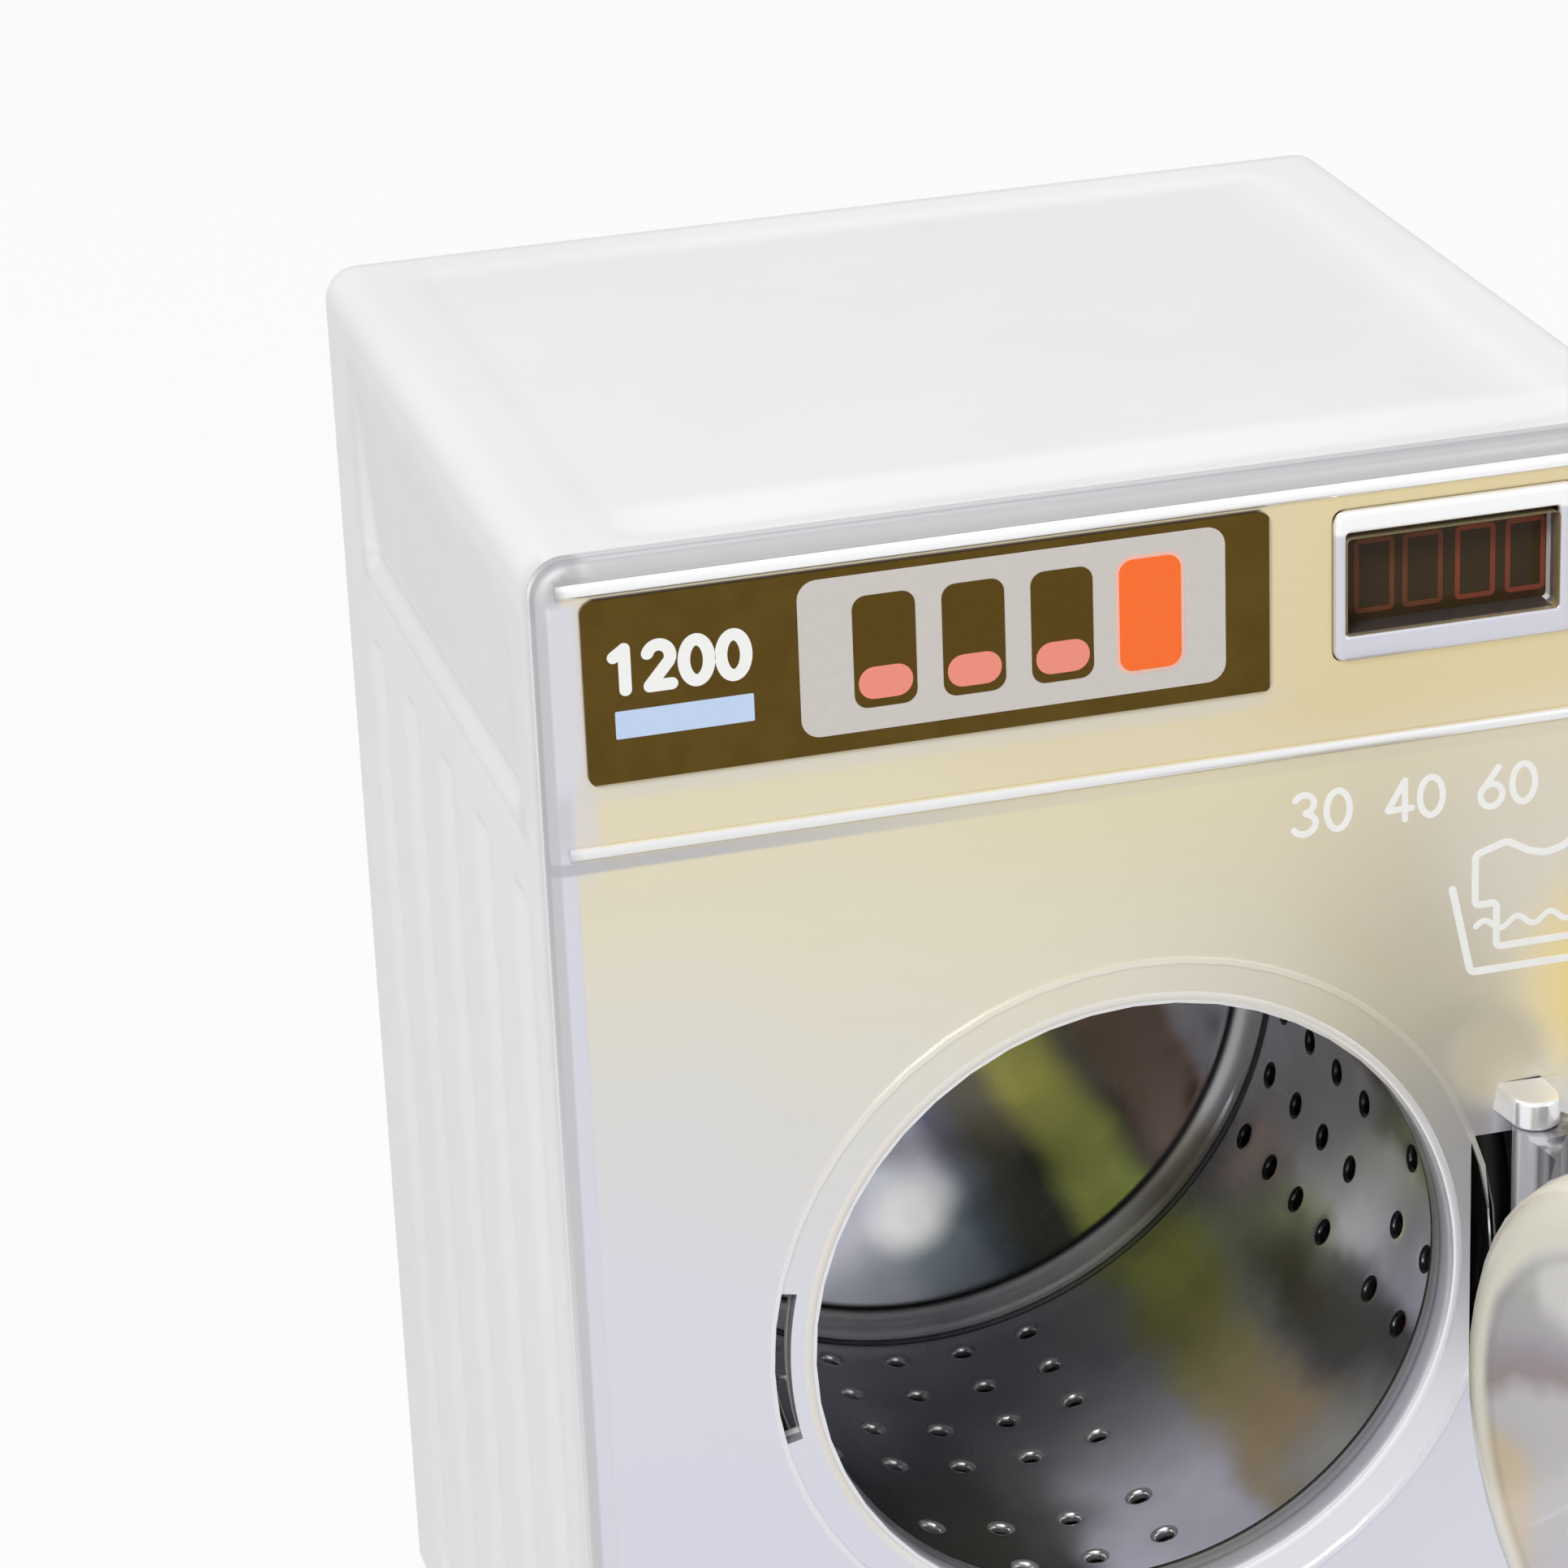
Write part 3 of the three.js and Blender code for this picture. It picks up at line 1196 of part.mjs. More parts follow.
function add(name, shape, material) {
  model.add(finished(name, shape, material))
}

add('main_shell', makeShell(), whiteShell)
add('front_panel', makeFrontPanel(), champagne)
add('control_label', makeLabel(), labelBrown)
add('display_window', displayLayer(panelBackY + seam, windowThickness), smoked)
add('display_card', displayLayer(panelBackY + 2 * seam + windowThickness, cardThickness), cardBrown)
add('base_plate', makeBasePlate(), greyInner)
add('rear_cover', makeRearCover(), whiteShell)
add('battery_cover', makeBatteryCover(), whiteShell)
add('battery_cell_1', makeCell(1, upperCellZ), cellJacket)
add('battery_cell_2', makeCell(-1, lowerCellZ), cellJacket)
const contactZ = (z) => [z - contactHalfSize, z + contactHalfSize]
const bridgePlate = contactPlate(-1, lowerCellZ - contactHalfSize, upperCellZ + contactHalfSize)
add('contact_bridge', bridgePlate.add(contactSpring(-1, upperCellZ)), steel)
add('contact_positive', contactPlate(1, ...contactZ(upperCellZ)).add(contactTab(upperCellZ)), steel)
add('contact_negative', joined([
  contactPlate(1, ...contactZ(lowerCellZ)), contactSpring(1, lowerCellZ), contactTab(lowerCellZ),
]), steel)
add('switch_body', makeSwitchBody(), blackPlastic)
add('switch_slider', makeSwitchSlider(), blackPlastic)
add('drum_carrier', makeDrumCarrier(), greyInner)
add('drum_bush', makeDrumBush(), brass)
add('drum', makeDrum(), drumFinish)
add('drum_shaft', makeDrumShaft(), steel)
add('drum_gear', makeDrumGear(), acetal)
add('idler_gear_1', makeIdler(idlerOne, 0, idlerOneTooth), acetal)
add('idler_gear_2', makeIdler(idlerTwo, 1, idlerTwoTooth), acetal)
add('idler_pin_1', makeIdlerPin(idlerOne), steel)
add('idler_pin_2', makeIdlerPin(idlerTwo), steel)
add('idler_spacer', makeIdlerSpacer(idlerTwo), nylon)
add('motor_can', makeMotorCan(), steel)
add('motor_end_cap', makeMotorEndCap(), nylon)
add('motor_shaft', makeMotorShaft(), steel)
add('motor_pinion', makeMotorPinion(), brass)
add('hinge_pin', makeHingePin(), steel)
add('lead_battery_to_switch', feedLead(), redLead)
add('lead_switch_to_motor', switchLead(), redLead)
add('lead_motor_to_battery', returnLead(), blackLead)

const door = new THREE.Group()
door.position.set(hingeSide, hingeY, axisZ)
door.rotation.z = radians(doorRestAngle)
door.add(finished('door_frame', makeDoorFrame(), chrome))
door.add(finished('door_bowl', makeDoorBowl(), clearDoor))
door.add(finished('door_retainer', makeDoorRetainer(), chrome))
model.add(door)

sides.forEach((side, i) => {
  coverScrewZ.forEach((z, k) => {
    placeScrew(`rear_screw_${2 * i + k + 1}`, [side * postX, coverFaceY - screwSink, z], [Math.PI, 0, 0])
  })
  carrierScrewZ.forEach((z, k) => {
    const y = carrierFrontY - clearance - screwHeadHeight
    placeScrew(`carrier_screw_${2 * i + k + 1}`, [side * postX, y, z], [0, 0, 0])
  })
  basePostY.forEach((y, k) => {
    placeScrew(`base_screw_${2 * i + k + 1}`, [side * postX, y, seam], [Math.PI / 2, 0, 0])
  })
})
placeScrew('battery_cover_screw', [earX, batteryCoverFaceY - screwSink, earZ], [Math.PI, 0, 0])

export default model
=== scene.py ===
"""Looks for a doll-scale toy washing machine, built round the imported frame."""
import json
import math

import bmesh
import bpy
from mathutils import Matrix, Vector

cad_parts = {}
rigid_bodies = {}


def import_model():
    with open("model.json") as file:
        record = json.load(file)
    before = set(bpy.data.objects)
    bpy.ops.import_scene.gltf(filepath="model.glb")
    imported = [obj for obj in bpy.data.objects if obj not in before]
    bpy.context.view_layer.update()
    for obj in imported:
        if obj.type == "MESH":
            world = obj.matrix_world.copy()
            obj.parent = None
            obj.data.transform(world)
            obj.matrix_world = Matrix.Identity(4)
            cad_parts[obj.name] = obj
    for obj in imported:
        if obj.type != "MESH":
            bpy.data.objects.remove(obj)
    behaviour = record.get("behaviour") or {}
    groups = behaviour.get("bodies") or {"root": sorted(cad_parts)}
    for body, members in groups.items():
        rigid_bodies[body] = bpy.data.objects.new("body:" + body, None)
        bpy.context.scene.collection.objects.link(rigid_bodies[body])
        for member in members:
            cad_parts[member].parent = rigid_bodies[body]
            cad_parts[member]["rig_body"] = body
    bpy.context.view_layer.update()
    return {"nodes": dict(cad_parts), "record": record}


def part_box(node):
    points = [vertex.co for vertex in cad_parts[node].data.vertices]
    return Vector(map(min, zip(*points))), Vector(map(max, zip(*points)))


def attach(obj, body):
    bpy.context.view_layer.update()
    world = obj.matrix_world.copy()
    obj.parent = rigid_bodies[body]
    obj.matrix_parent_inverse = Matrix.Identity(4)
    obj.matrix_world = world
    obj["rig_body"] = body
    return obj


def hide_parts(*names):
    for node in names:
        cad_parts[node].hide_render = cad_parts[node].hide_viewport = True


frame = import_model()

NODES = frame["nodes"]
SLOTS = {part["node"]: part["material_slot"] for part in frame["record"]["subparts"]}
MM = 0.001
WELD = 0.002 * MM

# Places that the looks share with the solids, in millimetres
FRONT_Y = -48.5
TOP_Z = 155.0
HALF_WIDTH = 55.0
AXIS_Z = 71.7
BEADS = ((2.6, 0.85), (27.7, 0.5), (132.0, 0.5))
BEAD_HALF_WIDTH = 53.2
RIB_RADIUS = 36.5
HINGE_X = 40.2
HINGE_Y = -52.0
DOOR_TURN = math.radians(99.0)
BOWL_AXIS = (HINGE_X - HINGE_X * math.cos(DOOR_TURN), HINGE_Y - HINGE_X * math.sin(DOOR_TURN))
WINDOW_Y = -46.0
LABEL_Y = -48.8
DISPLAY = (19.8, 43.9, 135.6, 150.4)
DISPLAY_OPENING = (21.0, 41.9, 138.3, 148.2)
LABEL = (-50.9, 13.8, 133.6, 151.3)
MATERIALS = {}


def feed(node, inputs):
    """Links a node's inputs to wires, or sets them to plain values."""
    for key, value in inputs:
        if isinstance(value, Wire):
            node.id_data.links.new(value.socket, node.inputs[key])
        else:
            node.inputs[key].default_value = value


def add_node(tree, kind, inputs=(), **settings):
    made = tree.nodes.new("ShaderNode" + kind)
    for key, value in settings.items():
        setattr(made, key, value)
    feed(made, inputs)
    return made


def wired(tree, kind, inputs=(), output=0, **settings):
    return Wire(add_node(tree, kind, inputs, **settings).outputs[output])


def operator(operation):
    """A Math node between a wire and another wire or a number."""
    def apply(wire, other):
        return wire.math(operation, wire, other)
    return apply


def rgba(colour):
    return colour if isinstance(colour, Wire) else (*colour, 1.0)


class Wire:
    """A number, mask or colour on its way through a material. | is the greater of two, & the lesser."""

    def __init__(self, socket):
        self.socket = socket
        self.tree = socket.id_data

    def math(self, operation, *values):
        return wired(self.tree, "Math", enumerate(values), operation=operation)

    __add__ = operator("ADD")
    __sub__ = operator("SUBTRACT")
    __mul__ = operator("MULTIPLY")
    __or__ = operator("MAXIMUM")
    __and__ = operator("MINIMUM")

    def __rsub__(self, other):
        return self.math("SUBTRACT", other, self)

    def __abs__(self):
        return self.math("ABSOLUTE", self)

    def range(self, low, high, to_low=0.0, to_high=1.0, smooth=True):
        """From to_low at low to to_high at high."""
        ends = {"From Min": low, "From Max": high, "To Min": to_low, "To Max": to_high}
        return wired(self.tree, "MapRange", (("Value", self), *ends.items()),
                     interpolation_type="SMOOTHSTEP" if smooth else "LINEAR")

    def within(self, low, high, soft=0.08):
        """1 where the number lies between low and high, 0 elsewhere."""
        return self.range(low - soft, low + soft) * self.range(high - soft, high + soft, 1.0, 0.0)

    def mix(self, first, second):
        """A colour that runs from first to second as this mask goes from 0 to 1."""
        inputs = ((0, self), (6, rgba(first)), (7, rgba(second)))
        return wired(self.tree, "Mix", inputs, 2, data_type="RGBA")

    def blend(self, first, second):
        """A number that runs from first to second."""
        return wired(self.tree, "Mix", ((0, self), (2, first), (3, second)))

    def ramp(self, stops):
        made = add_node(self.tree, "ValToRGB", [(0, self)])
        elements = made.color_ramp.elements
        while len(elements) < len(stops):
            elements.new(0.5)
        for element, (position, colour) in zip(elements, stops):
            element.position = position
            element.color = rgba(colour)
        return Wire(made.outputs[0])

    def scaled(self, factor):
        """This colour made lighter or darker by a number that varies."""
        return wired(self.tree, "VectorMath", ((0, self), ("Scale", factor)), operation="SCALE")


def distance(first, second):
    """How far a place lies from where both numbers are 0."""
    squares = first * first + second * second
    return squares.math("SQRT", squares)


def either(masks):
    result = masks[0]
    for mask in masks[1:]:
        result = result | mask
    return result


def layered(base, *layers):
    """A colour with others laid over it in turn, each where its mask is 1."""
    for mask, colour in layers:
        base = mask.mix(base, colour)
    return base


def shade(colour, factor):
    return tuple(min(1.0, channel * factor) for channel in colour)


class Graph:
    """One Principled material, whose nodes read the place in object space."""

    def __init__(self, name):
        material = bpy.data.materials.new(name)
        material.use_nodes = True
        self.tree = material.node_tree
        self.place = wired(self.tree, "TexCoord", output="Object")
        MATERIALS[name] = material

    def xyz(self):
        """X, Y and Z of the part's frame, in millimetres."""
        split = add_node(self.tree, "SeparateXYZ", [(0, self.place)])
        return [Wire(split.outputs[axis]) * 1000.0 for axis in range(3)]

    def noise(self, scale, detail=2.0, stretch=None):
        place = self.place
        if stretch:
            place = wired(self.tree, "Mapping", (("Scale", stretch), ("Vector", place)))
        return wired(self.tree, "TexNoise", (("Scale", scale), ("Detail", detail), ("Vector", place)))

    def uneven(self, scale, detail, low, high):
        """A number that drifts between low and high from place to place."""
        return self.noise(scale, detail).range(0.3, 0.7, low, high)

    def finish(self, height, strength, distance=0.0001, **values):
        """Sets the shader's inputs by name and bumps it by a height."""
        inputs = (("Strength", strength), ("Distance", distance), ("Height", height))
        values["Normal"] = wired(self.tree, "Bump", inputs)
        feed(self.tree.nodes["Principled BSDF"],
             [(key.replace("_", " "), value) for key, value in values.items()])


def moulded(name, colour, roughness, grain=1800.0, strength=0.05, metallic=0.0):
    """Moulded or metallised plastic with faint grain and uneven gloss."""
    graph = Graph(name)
    tone = graph.uneven(45.0, 3.0, 0.0, 1.0).mix(shade(colour, 0.98), shade(colour, 1.02))
    rough = graph.noise(260.0, 3.0).range(0.25, 0.75, roughness - 0.03, roughness + 0.05)
    graph.finish(graph.noise(grain), strength, Base_Color=tone, Roughness=rough, Metallic=metallic)


def brushed(name, colour, roughness, stretch, metallic=1.0):
    """Metal with fine lines along the axis whose stretch is small."""
    graph = Graph(name)
    lines = graph.noise(900.0, 3.0, stretch)
    tone = lines.range(0.3, 0.7).mix(shade(colour, 0.9), shade(colour, 1.08))
    rough = lines.range(0.2, 0.8, roughness - 0.05, roughness + 0.08)
    graph.finish(lines, 0.06, Base_Color=tone, Roughness=rough, Metallic=metallic)


def printed(name, colour, roughness=0.4):
    """Screen-printed ink: a little uneven in tone and gloss."""
    graph = Graph(name)
    grain = graph.noise(900.0, 3.0)
    rough = grain.range(0.3, 0.7, roughness - 0.05, roughness + 0.05)
    graph.finish(grain, 0.03, Base_Color=grain.mix(shade(colour, 0.95), shade(colour, 1.04)),
                 Specular_IOR_Level=0.15, Roughness=rough)


SILVER = (0.56, 0.56, 0.59)
PALE_SILVER = (0.8, 0.8, 0.83)
BEAD_WHITE = (0.95, 0.95, 0.96)
PANEL_FIELD = (
    (0.0, (0.7, 0.7, 0.79)), (0.3, (0.71, 0.71, 0.77)), (0.52, (0.72, 0.705, 0.665)),
    (0.7, (0.755, 0.71, 0.575)), (0.86, (0.765, 0.695, 0.5)), (1.0, (0.755, 0.665, 0.455)))
# Painted highlight and painted shade lines across the porthole's inner wall, from front to back.
PORTHOLE_LIGHT_AND_SHADE = (
    (0.0, (0.92, 0.92, 0.95)), (0.14, (0.6, 0.6, 0.66)), (0.4, (0.62, 0.62, 0.69)),
    (0.52, (0.36, 0.36, 0.41)), (0.6, (0.72, 0.72, 0.8)), (0.78, (0.66, 0.66, 0.74)),
    (0.86, (1.0, 1.0, 1.0)), (0.93, (0.1, 0.1, 0.12)))
# Painted reflections across the door bowl's face.
BOWL_REFLECTIONS = (
    (0.0, (0.74, 0.72, 0.75)), (0.4, (0.76, 0.74, 0.75)), (0.57, (0.8, 0.78, 0.8)),
    (0.63, (0.52, 0.44, 0.45)), (0.69, (0.55, 0.51, 0.55)), (0.76, (0.64, 0.62, 0.66)),
    (0.88, (0.66, 0.65, 0.64)), (1.0, (0.86, 0.85, 0.84)))
# Painted reflections in the hinge barrel's dark streaks.
BARREL_REFLECTIONS = ((0.38, (0.13, 0.13, 0.14)), (0.5, (0.26, 0.26, 0.28)), (0.62, (0.42, 0.42, 0.45)))
DEGREES = 57.2958


def panel_material():
    """Satin metallised front: champagne above, cooler below, with silver edges, beads and ring."""
    graph = Graph("panel_champagne")
    x, y, z = graph.xyz()
    side = abs(x)
    low = z - AXIS_Z
    radius = distance(x, low)

    height = z.range(50.0, 132.0, smooth=False) + x.range(-50.0, 5.0, -0.12, 0.0)
    # Painted reflection of the open door: a grey cloud on the panel's right.
    painted_door_reflection = x.range(4.0, 34.0) * z.range(132.0, 118.0) * z.range(98.0, 110.0)
    golden = x.range(4.0, 24.0) * z.range(126.0, 133.0)
    gold_far = distance(x - 51.5, z - 99.0).range(6.0, 17.0, 0.95, 0.0)
    above_label = z.range(152.1, 150.5) * x.range(-49.5, -51.0) * z.range(120.0, 130.0)
    # Painted shadow: a thin dark line along the label's top edge.
    painted_label_top_shadow = z.within(TOP_Z - 3.8, TOP_Z - 3.45, 0.12) * x.within(LABEL[0] + 1.0, LABEL[1] - 1.0, 0.4)
    lug_glow = distance(x - 36.5, z - 92.5).range(3.0, 6.5, 1.0, 0.0)
    # Painted shadow: a soft grey band just under the label.
    painted_shadow_under_label = z.within(TOP_Z - 22.9, TOP_Z - 21.0, 0.9) * x.within(LABEL[0], LABEL[1], 4.0)
    foot = x.within(36.3, 40.5, 0.3) * z.within(84.4, 86.7, 0.25)
    field = layered(
        (height + graph.uneven(22.0, 2.0, -0.05, 0.05)).ramp(PANEL_FIELD),
        (painted_door_reflection * 0.5, (0.66, 0.62, 0.575)),
        (golden * 0.6, (0.76, 0.62, 0.32)),
        (gold_far, (0.86, 0.68, 0.26)),
        (above_label, (0.72, 0.68, 0.63)),
        (painted_label_top_shadow, (0.13, 0.11, 0.09)),
        (lug_glow, (0.58, 0.52, 0.4)),
        (painted_shadow_under_label * 0.5, (0.65, 0.63, 0.62)),
        (foot, (0.8, 0.8, 0.85)))

    margin = (HALF_WIDTH - side) & (TOP_Z - z)
    edge = margin.range(2.1, 2.9, 1.0, 0.0)
    upper = z.range(130.0, 138.0)
    inner_edge = (side.range(HALF_WIDTH - 1.0, HALF_WIDTH - 1.4) * z.range(151.6, 150.6)
                  * (side + upper).range(HALF_WIDTH - 2.9, HALF_WIDTH - 2.4)
                  * z.within(127.5, 133.0, 1.5).blend(1.0, 0.4))
    # Painted shadow: a darker line under the second bead.
    painted_shadow_under_bead = z.within(TOP_Z - 29.7, TOP_Z - 28.5, 0.2) * x.range(2.0, -45.0, 0.15, 0.8)
    seam = y.range(FRONT_Y + 0.5, FRONT_Y + 0.7)
    behind = y.range(FRONT_Y + 1.3, FRONT_Y + 1.5) * z.range(154.0, 152.0, 0.35, 1.0)
    # Painted light: on the faces behind the front, the left of the top is painted lighter than the rest.
    duller = x.range(0.0, 30.0) | z.range(153.0, 151.0)
    # Painted shade: the rounded top-left corner is painted darker, so that it shows no glint.
    painted_corner_shade = x.within(-53.8, -50.5, 0.8) * z.range(151.8, 153.6)
    ring = (radius.range(32.25, 33.4, 1.0, 0.0) * 0.75
            | radius.range(RIB_RADIUS - 0.6, RIB_RADIUS - 0.1, 1.0, 0.0) * (x - low).range(5.0, 45.0))
    over_pocket = x.within(33.0, 37.0, 0.6) * low.within(-13.4, 13.4, 0.6)
    rib = radius.within(RIB_RADIUS - 0.32, RIB_RADIUS + 0.32) * over_pocket.blend(0.35, 1.0)
    # Painted shade: the walls of the hinge recess are painted near black.
    painted_pocket_shade = (x.within(33.9, 44.9) * z.within(AXIS_Z - 12.9, AXIS_Z + 12.9)
              * y.range(FRONT_Y + 0.12, FRONT_Y + 0.4))
    rows = either([z.within(TOP_Z - drop - half, TOP_Z - drop + half, 0.12) for drop, half in BEADS])
    proud = y.range(FRONT_Y - 0.12, FRONT_Y - 0.02, 1.0, 0.0)
    bead = rows * proud * side.range(BEAD_HALF_WIDTH, BEAD_HALF_WIDTH - 1.6)
    colour = layered(
        field,
        (ring, PALE_SILVER),
        (edge, z.range(151.0, 153.0).mix(SILVER, (0.55, 0.545, 0.55))),
        (inner_edge, upper.mix((0.69, 0.69, 0.77), (0.7, 0.695, 0.74))),
        (painted_shadow_under_bead, (0.46, 0.46, 0.5)),
        (seam, z.range(135.0, 60.0).mix((0.46, 0.46, 0.48), (0.68, 0.68, 0.7))),
        (behind, duller.mix((0.93, 0.93, 0.93), (0.8, 0.8, 0.8))),
        (painted_corner_shade * 0.5, (0.3, 0.3, 0.32)),
        (rib, (0.92, 0.9, 0.86)),
        (bead, z.range(140.0, 145.0).mix((0.84, 0.84, 0.85), BEAD_WHITE)),
        (painted_pocket_shade, (0.012, 0.011, 0.011)))

    corner = margin.range(3.2, 1.6) * x.range(-49.0, -51.0) * z.range(149.0, 151.0)
    rough = corner.blend(bead.blend(graph.uneven(300.0, 3.0, 0.29, 0.33), 0.2), 0.6)
    metal = (behind | lug_glow).blend(0.72, 0.0)
    graph.finish(graph.noise(150.0), 0.03, Base_Color=colour, Roughness=painted_pocket_shade.blend(rough, 0.95),
                 Metallic=painted_pocket_shade.blend(metal, 1.0))


def shell_material():
    """White moulded plastic, with painted highlights on the top and painted shade in the grips and along
    some edges.
    """
    graph = Graph("shell_white")
    x, y, z = graph.xyz()
    on_side = abs(x).range(53.0, 53.6)
    on_top = z.range(153.2, 154.0)
    # Painted highlights: patches of the top at its front left, its back and its right are painted lighter.
    front = on_top * x.range(-50.0, -38.0) * y.within(-43.5, -35.0, 2.0)
    behind = on_top * y.range(38.0, 42.0) * x.range(-40.0, 10.0, 0.2, 1.0)
    right = on_top * x.range(38.0, 47.0)
    # Painted shade: the grips' recesses, their lower step and the sides' front edge are painted darker.
    grip = on_side * z.within(129.0, 149.0, 1.5) * y.within(-43.0, 37.0, 2.0)
    painted_ledge_shade = on_side * z.within(125.4, 128.6, 0.7) * y.within(-40.0, 36.0, 2.0)
    painted_fore_edge_shade = on_side * y.range(-43.0, -46.0) * z.range(60.0, 120.0, 0.3, 0.9)
    tone = layered(
        (front | (behind | right) * 0.7).mix((0.86, 0.86, 0.855), (0.94, 0.945, 0.95)),
        # Painted shade on the top's back rounding.
        (on_top * y.range(45.0, 46.8), (0.78, 0.78, 0.78)),
        (grip, (0.81, 0.81, 0.8)),
        (painted_ledge_shade, (0.765, 0.765, 0.765)),
        (painted_fore_edge_shade, (0.73, 0.73, 0.73)))
    graph.finish(graph.noise(1500.0), 0.06, Base_Color=tone.scaled(graph.uneven(45.0, 3.0, 0.988, 1.012)),
                 Roughness=graph.noise(260.0, 3.0).range(0.25, 0.75, 0.37, 0.45))


def label_material():
    """Olive-brown printed film with a thin pale cut edge."""
    graph = Graph("label_brown")
    x, _, z = graph.xyz()
    rim = ((LABEL[1] - x) & (z - LABEL[2])).range(0.26, 0.16)
    ink = graph.noise(300.0, 3.0).range(0.35, 0.65).mix((0.094, 0.055, 0.0055), (0.108, 0.063, 0.0075))
    graph.finish(graph.noise(700.0, 3.0), 0.02, Base_Color=rim.mix(ink, (0.5, 0.45, 0.33)), Roughness=0.4,
                 Specular_IOR_Level=0.12)


def drum_material():
    """Dark metallised film with painted reflections in olive, brown and lavender streaks that run from front
    to back.
    """
    graph = Graph("drum_dark")
    x, y, z = graph.xyz()
    low = z - AXIS_Z
    radius = distance(x, low)
    wander = (graph.noise(26.0).range(0.15, 0.85, -5.6, 5.6, smooth=False)
              + graph.noise(100.0).range(0.15, 0.85, -3.5, 3.5, smooth=False))
    angle = low.math("ARCTAN2", low, x) * DEGREES + wander

    def streaks(*ends, soft=5.0):
        return either([angle.within(first, last, soft) for first, last in ends])

    # The wall's colour is painted light and reflections: dark at the front, painted lighter towards the
    # back, with painted reflections in olive, brown and lavender and painted shadow in dark bands.
    front = y.range(4.0, -22.0)
    deep = y.range(6.0, 19.0)
    pale = streaks((-87.0, -60.0), (52.0, 80.0), (150.0, 170.0), soft=6.0) * front
    warm_reflection = front.mix(deep.mix((0.64, 0.6, 0.27), (0.92, 0.94, 0.46)), (0.74, 0.56, 0.36))
    shadow = streaks((-43.0, -31.0)) * y.range(16.0, -4.0, 0.05, 0.9) * y.range(-34.0, -8.0, 0.35, 1.0)
    patch = streaks((-27.0, -2.0), (20.0, 34.0), soft=3.0)
    dim = angle.range(-14.0, -8.0) * y.range(-2.0, -12.0)
    wall = layered(
        y.range(-28.0, 10.0).mix((0.17, 0.17, 0.18), (0.66, 0.67, 0.75)),
        (deep, (0.9, 0.92, 1.0)),
        (streaks((-140.0, -96.0)) * y.range(8.0, -8.0, 0.0, 0.35), (0.05, 0.05, 0.05)),
        (pale, (0.82, 0.81, 1.0)),
        (streaks((-61.0, -46.0), (100.0, 126.0)), warm_reflection),
        (streaks((-57.0, -38.0)) * y.range(-20.0, -30.0), (0.7, 0.68, 0.64)),
        (shadow, (0.14, 0.125, 0.09)),
        (patch, y.range(-10.0, -25.0).mix((0.96, 0.94, 1.0), (0.76, 0.75, 0.84))),
        (dim * 0.85, (0.18, 0.19, 0.2)),
        # Painted shade: the mouth ring's front face is painted near black.
        (y.range(-41.1, -41.3) * radius.range(35.5, 36.2), (0.006, 0.006, 0.006)))

    # The back disc's colours are painted reflections, with a painted white highlight low on its left.
    across = x * 0.894 + low * 0.447 + wander * 0.3
    along = low * 0.894 - x * 0.447
    higher = along.range(-27.0, -19.0)
    painted_highlight_spot = distance(across + 13.5, along + 22.5)
    disc = layered(
        across.range(-7.0, -2.5).mix(higher.mix((0.1, 0.13, 0.16), (0.28, 0.3, 0.38)),
                                     higher.mix((0.085, 0.085, 0.07), (0.19, 0.19, 0.15))),
        (across.range(-6.0, -9.5), higher.mix((0.19, 0.23, 0.28), (0.86, 0.88, 0.98))),
        (across.range(-14.0, -19.0), higher.mix((0.3, 0.31, 0.36), (0.62, 0.62, 0.72))),
        (painted_highlight_spot.range(6.5, 1.5), (1.0, 1.0, 1.0)),
        ((across + higher * 1.2).within(3.0, 11.2, 2.2), higher.mix((0.62, 0.7, 0.18), (0.47, 0.5, 0.16))),
        (across.range(11.0, 15.5), (0.3, 0.2, 0.15)),
        (across.range(21.5, 25.5), (0.92, 0.92, 1.0)))

    # The rim's colours are painted reflections.
    band = streaks((-52.0, -34.0)).mix((0.96, 0.96, 1.0), (0.66, 0.6, 0.52))
    band = angle.range(-28.0, -18.0).mix(band, (1.0, 1.0, 1.0))
    rim = y.range(23.7, 23.9)
    # Painted shade: near-black lines in the creases on each side of the rim.
    painted_groove_shade = (radius.range(39.85, 39.95) * y.within(23.5, 23.95, 0.25)
              | radius.within(36.8, 37.7, 0.35) * y.range(26.0, 26.2))
    base = layered(
        rim.mix(wall, band),
        (radius.range(37.3, 37.1) * y.range(22.0, 22.5), disc),
        (painted_groove_shade, (0.03, 0.03, 0.032)))

    matte = (patch * y.range(-22.0, -12.0) | pale * 0.35) * y.range(23.9, 23.7)
    bright = painted_highlight_spot.range(11.0, 3.0) * y.range(24.5, 25.0)
    smear = graph.noise(120.0, 3.0, (1.0, 0.2, 1.0)).range(0.3, 0.7, 0.2, 0.3)
    rough = (rim * radius.range(37.1, 37.3)).blend(smear, 0.46)
    toward = (-13.0 - low) | 0.0
    dish = toward * toward * y.range(24.5, 25.0)
    graph.finish(graph.noise(25.0, 1.0) * 0.06 + dish * 0.0155, 1.0, 0.001,
                 Base_Color=base.scaled(graph.uneven(48.0, 3.0, 0.84, 1.14)),
                 Metallic=bright.blend(matte.blend(0.62, 0.0), 1.0), Roughness=bright.blend(rough, 0.27))


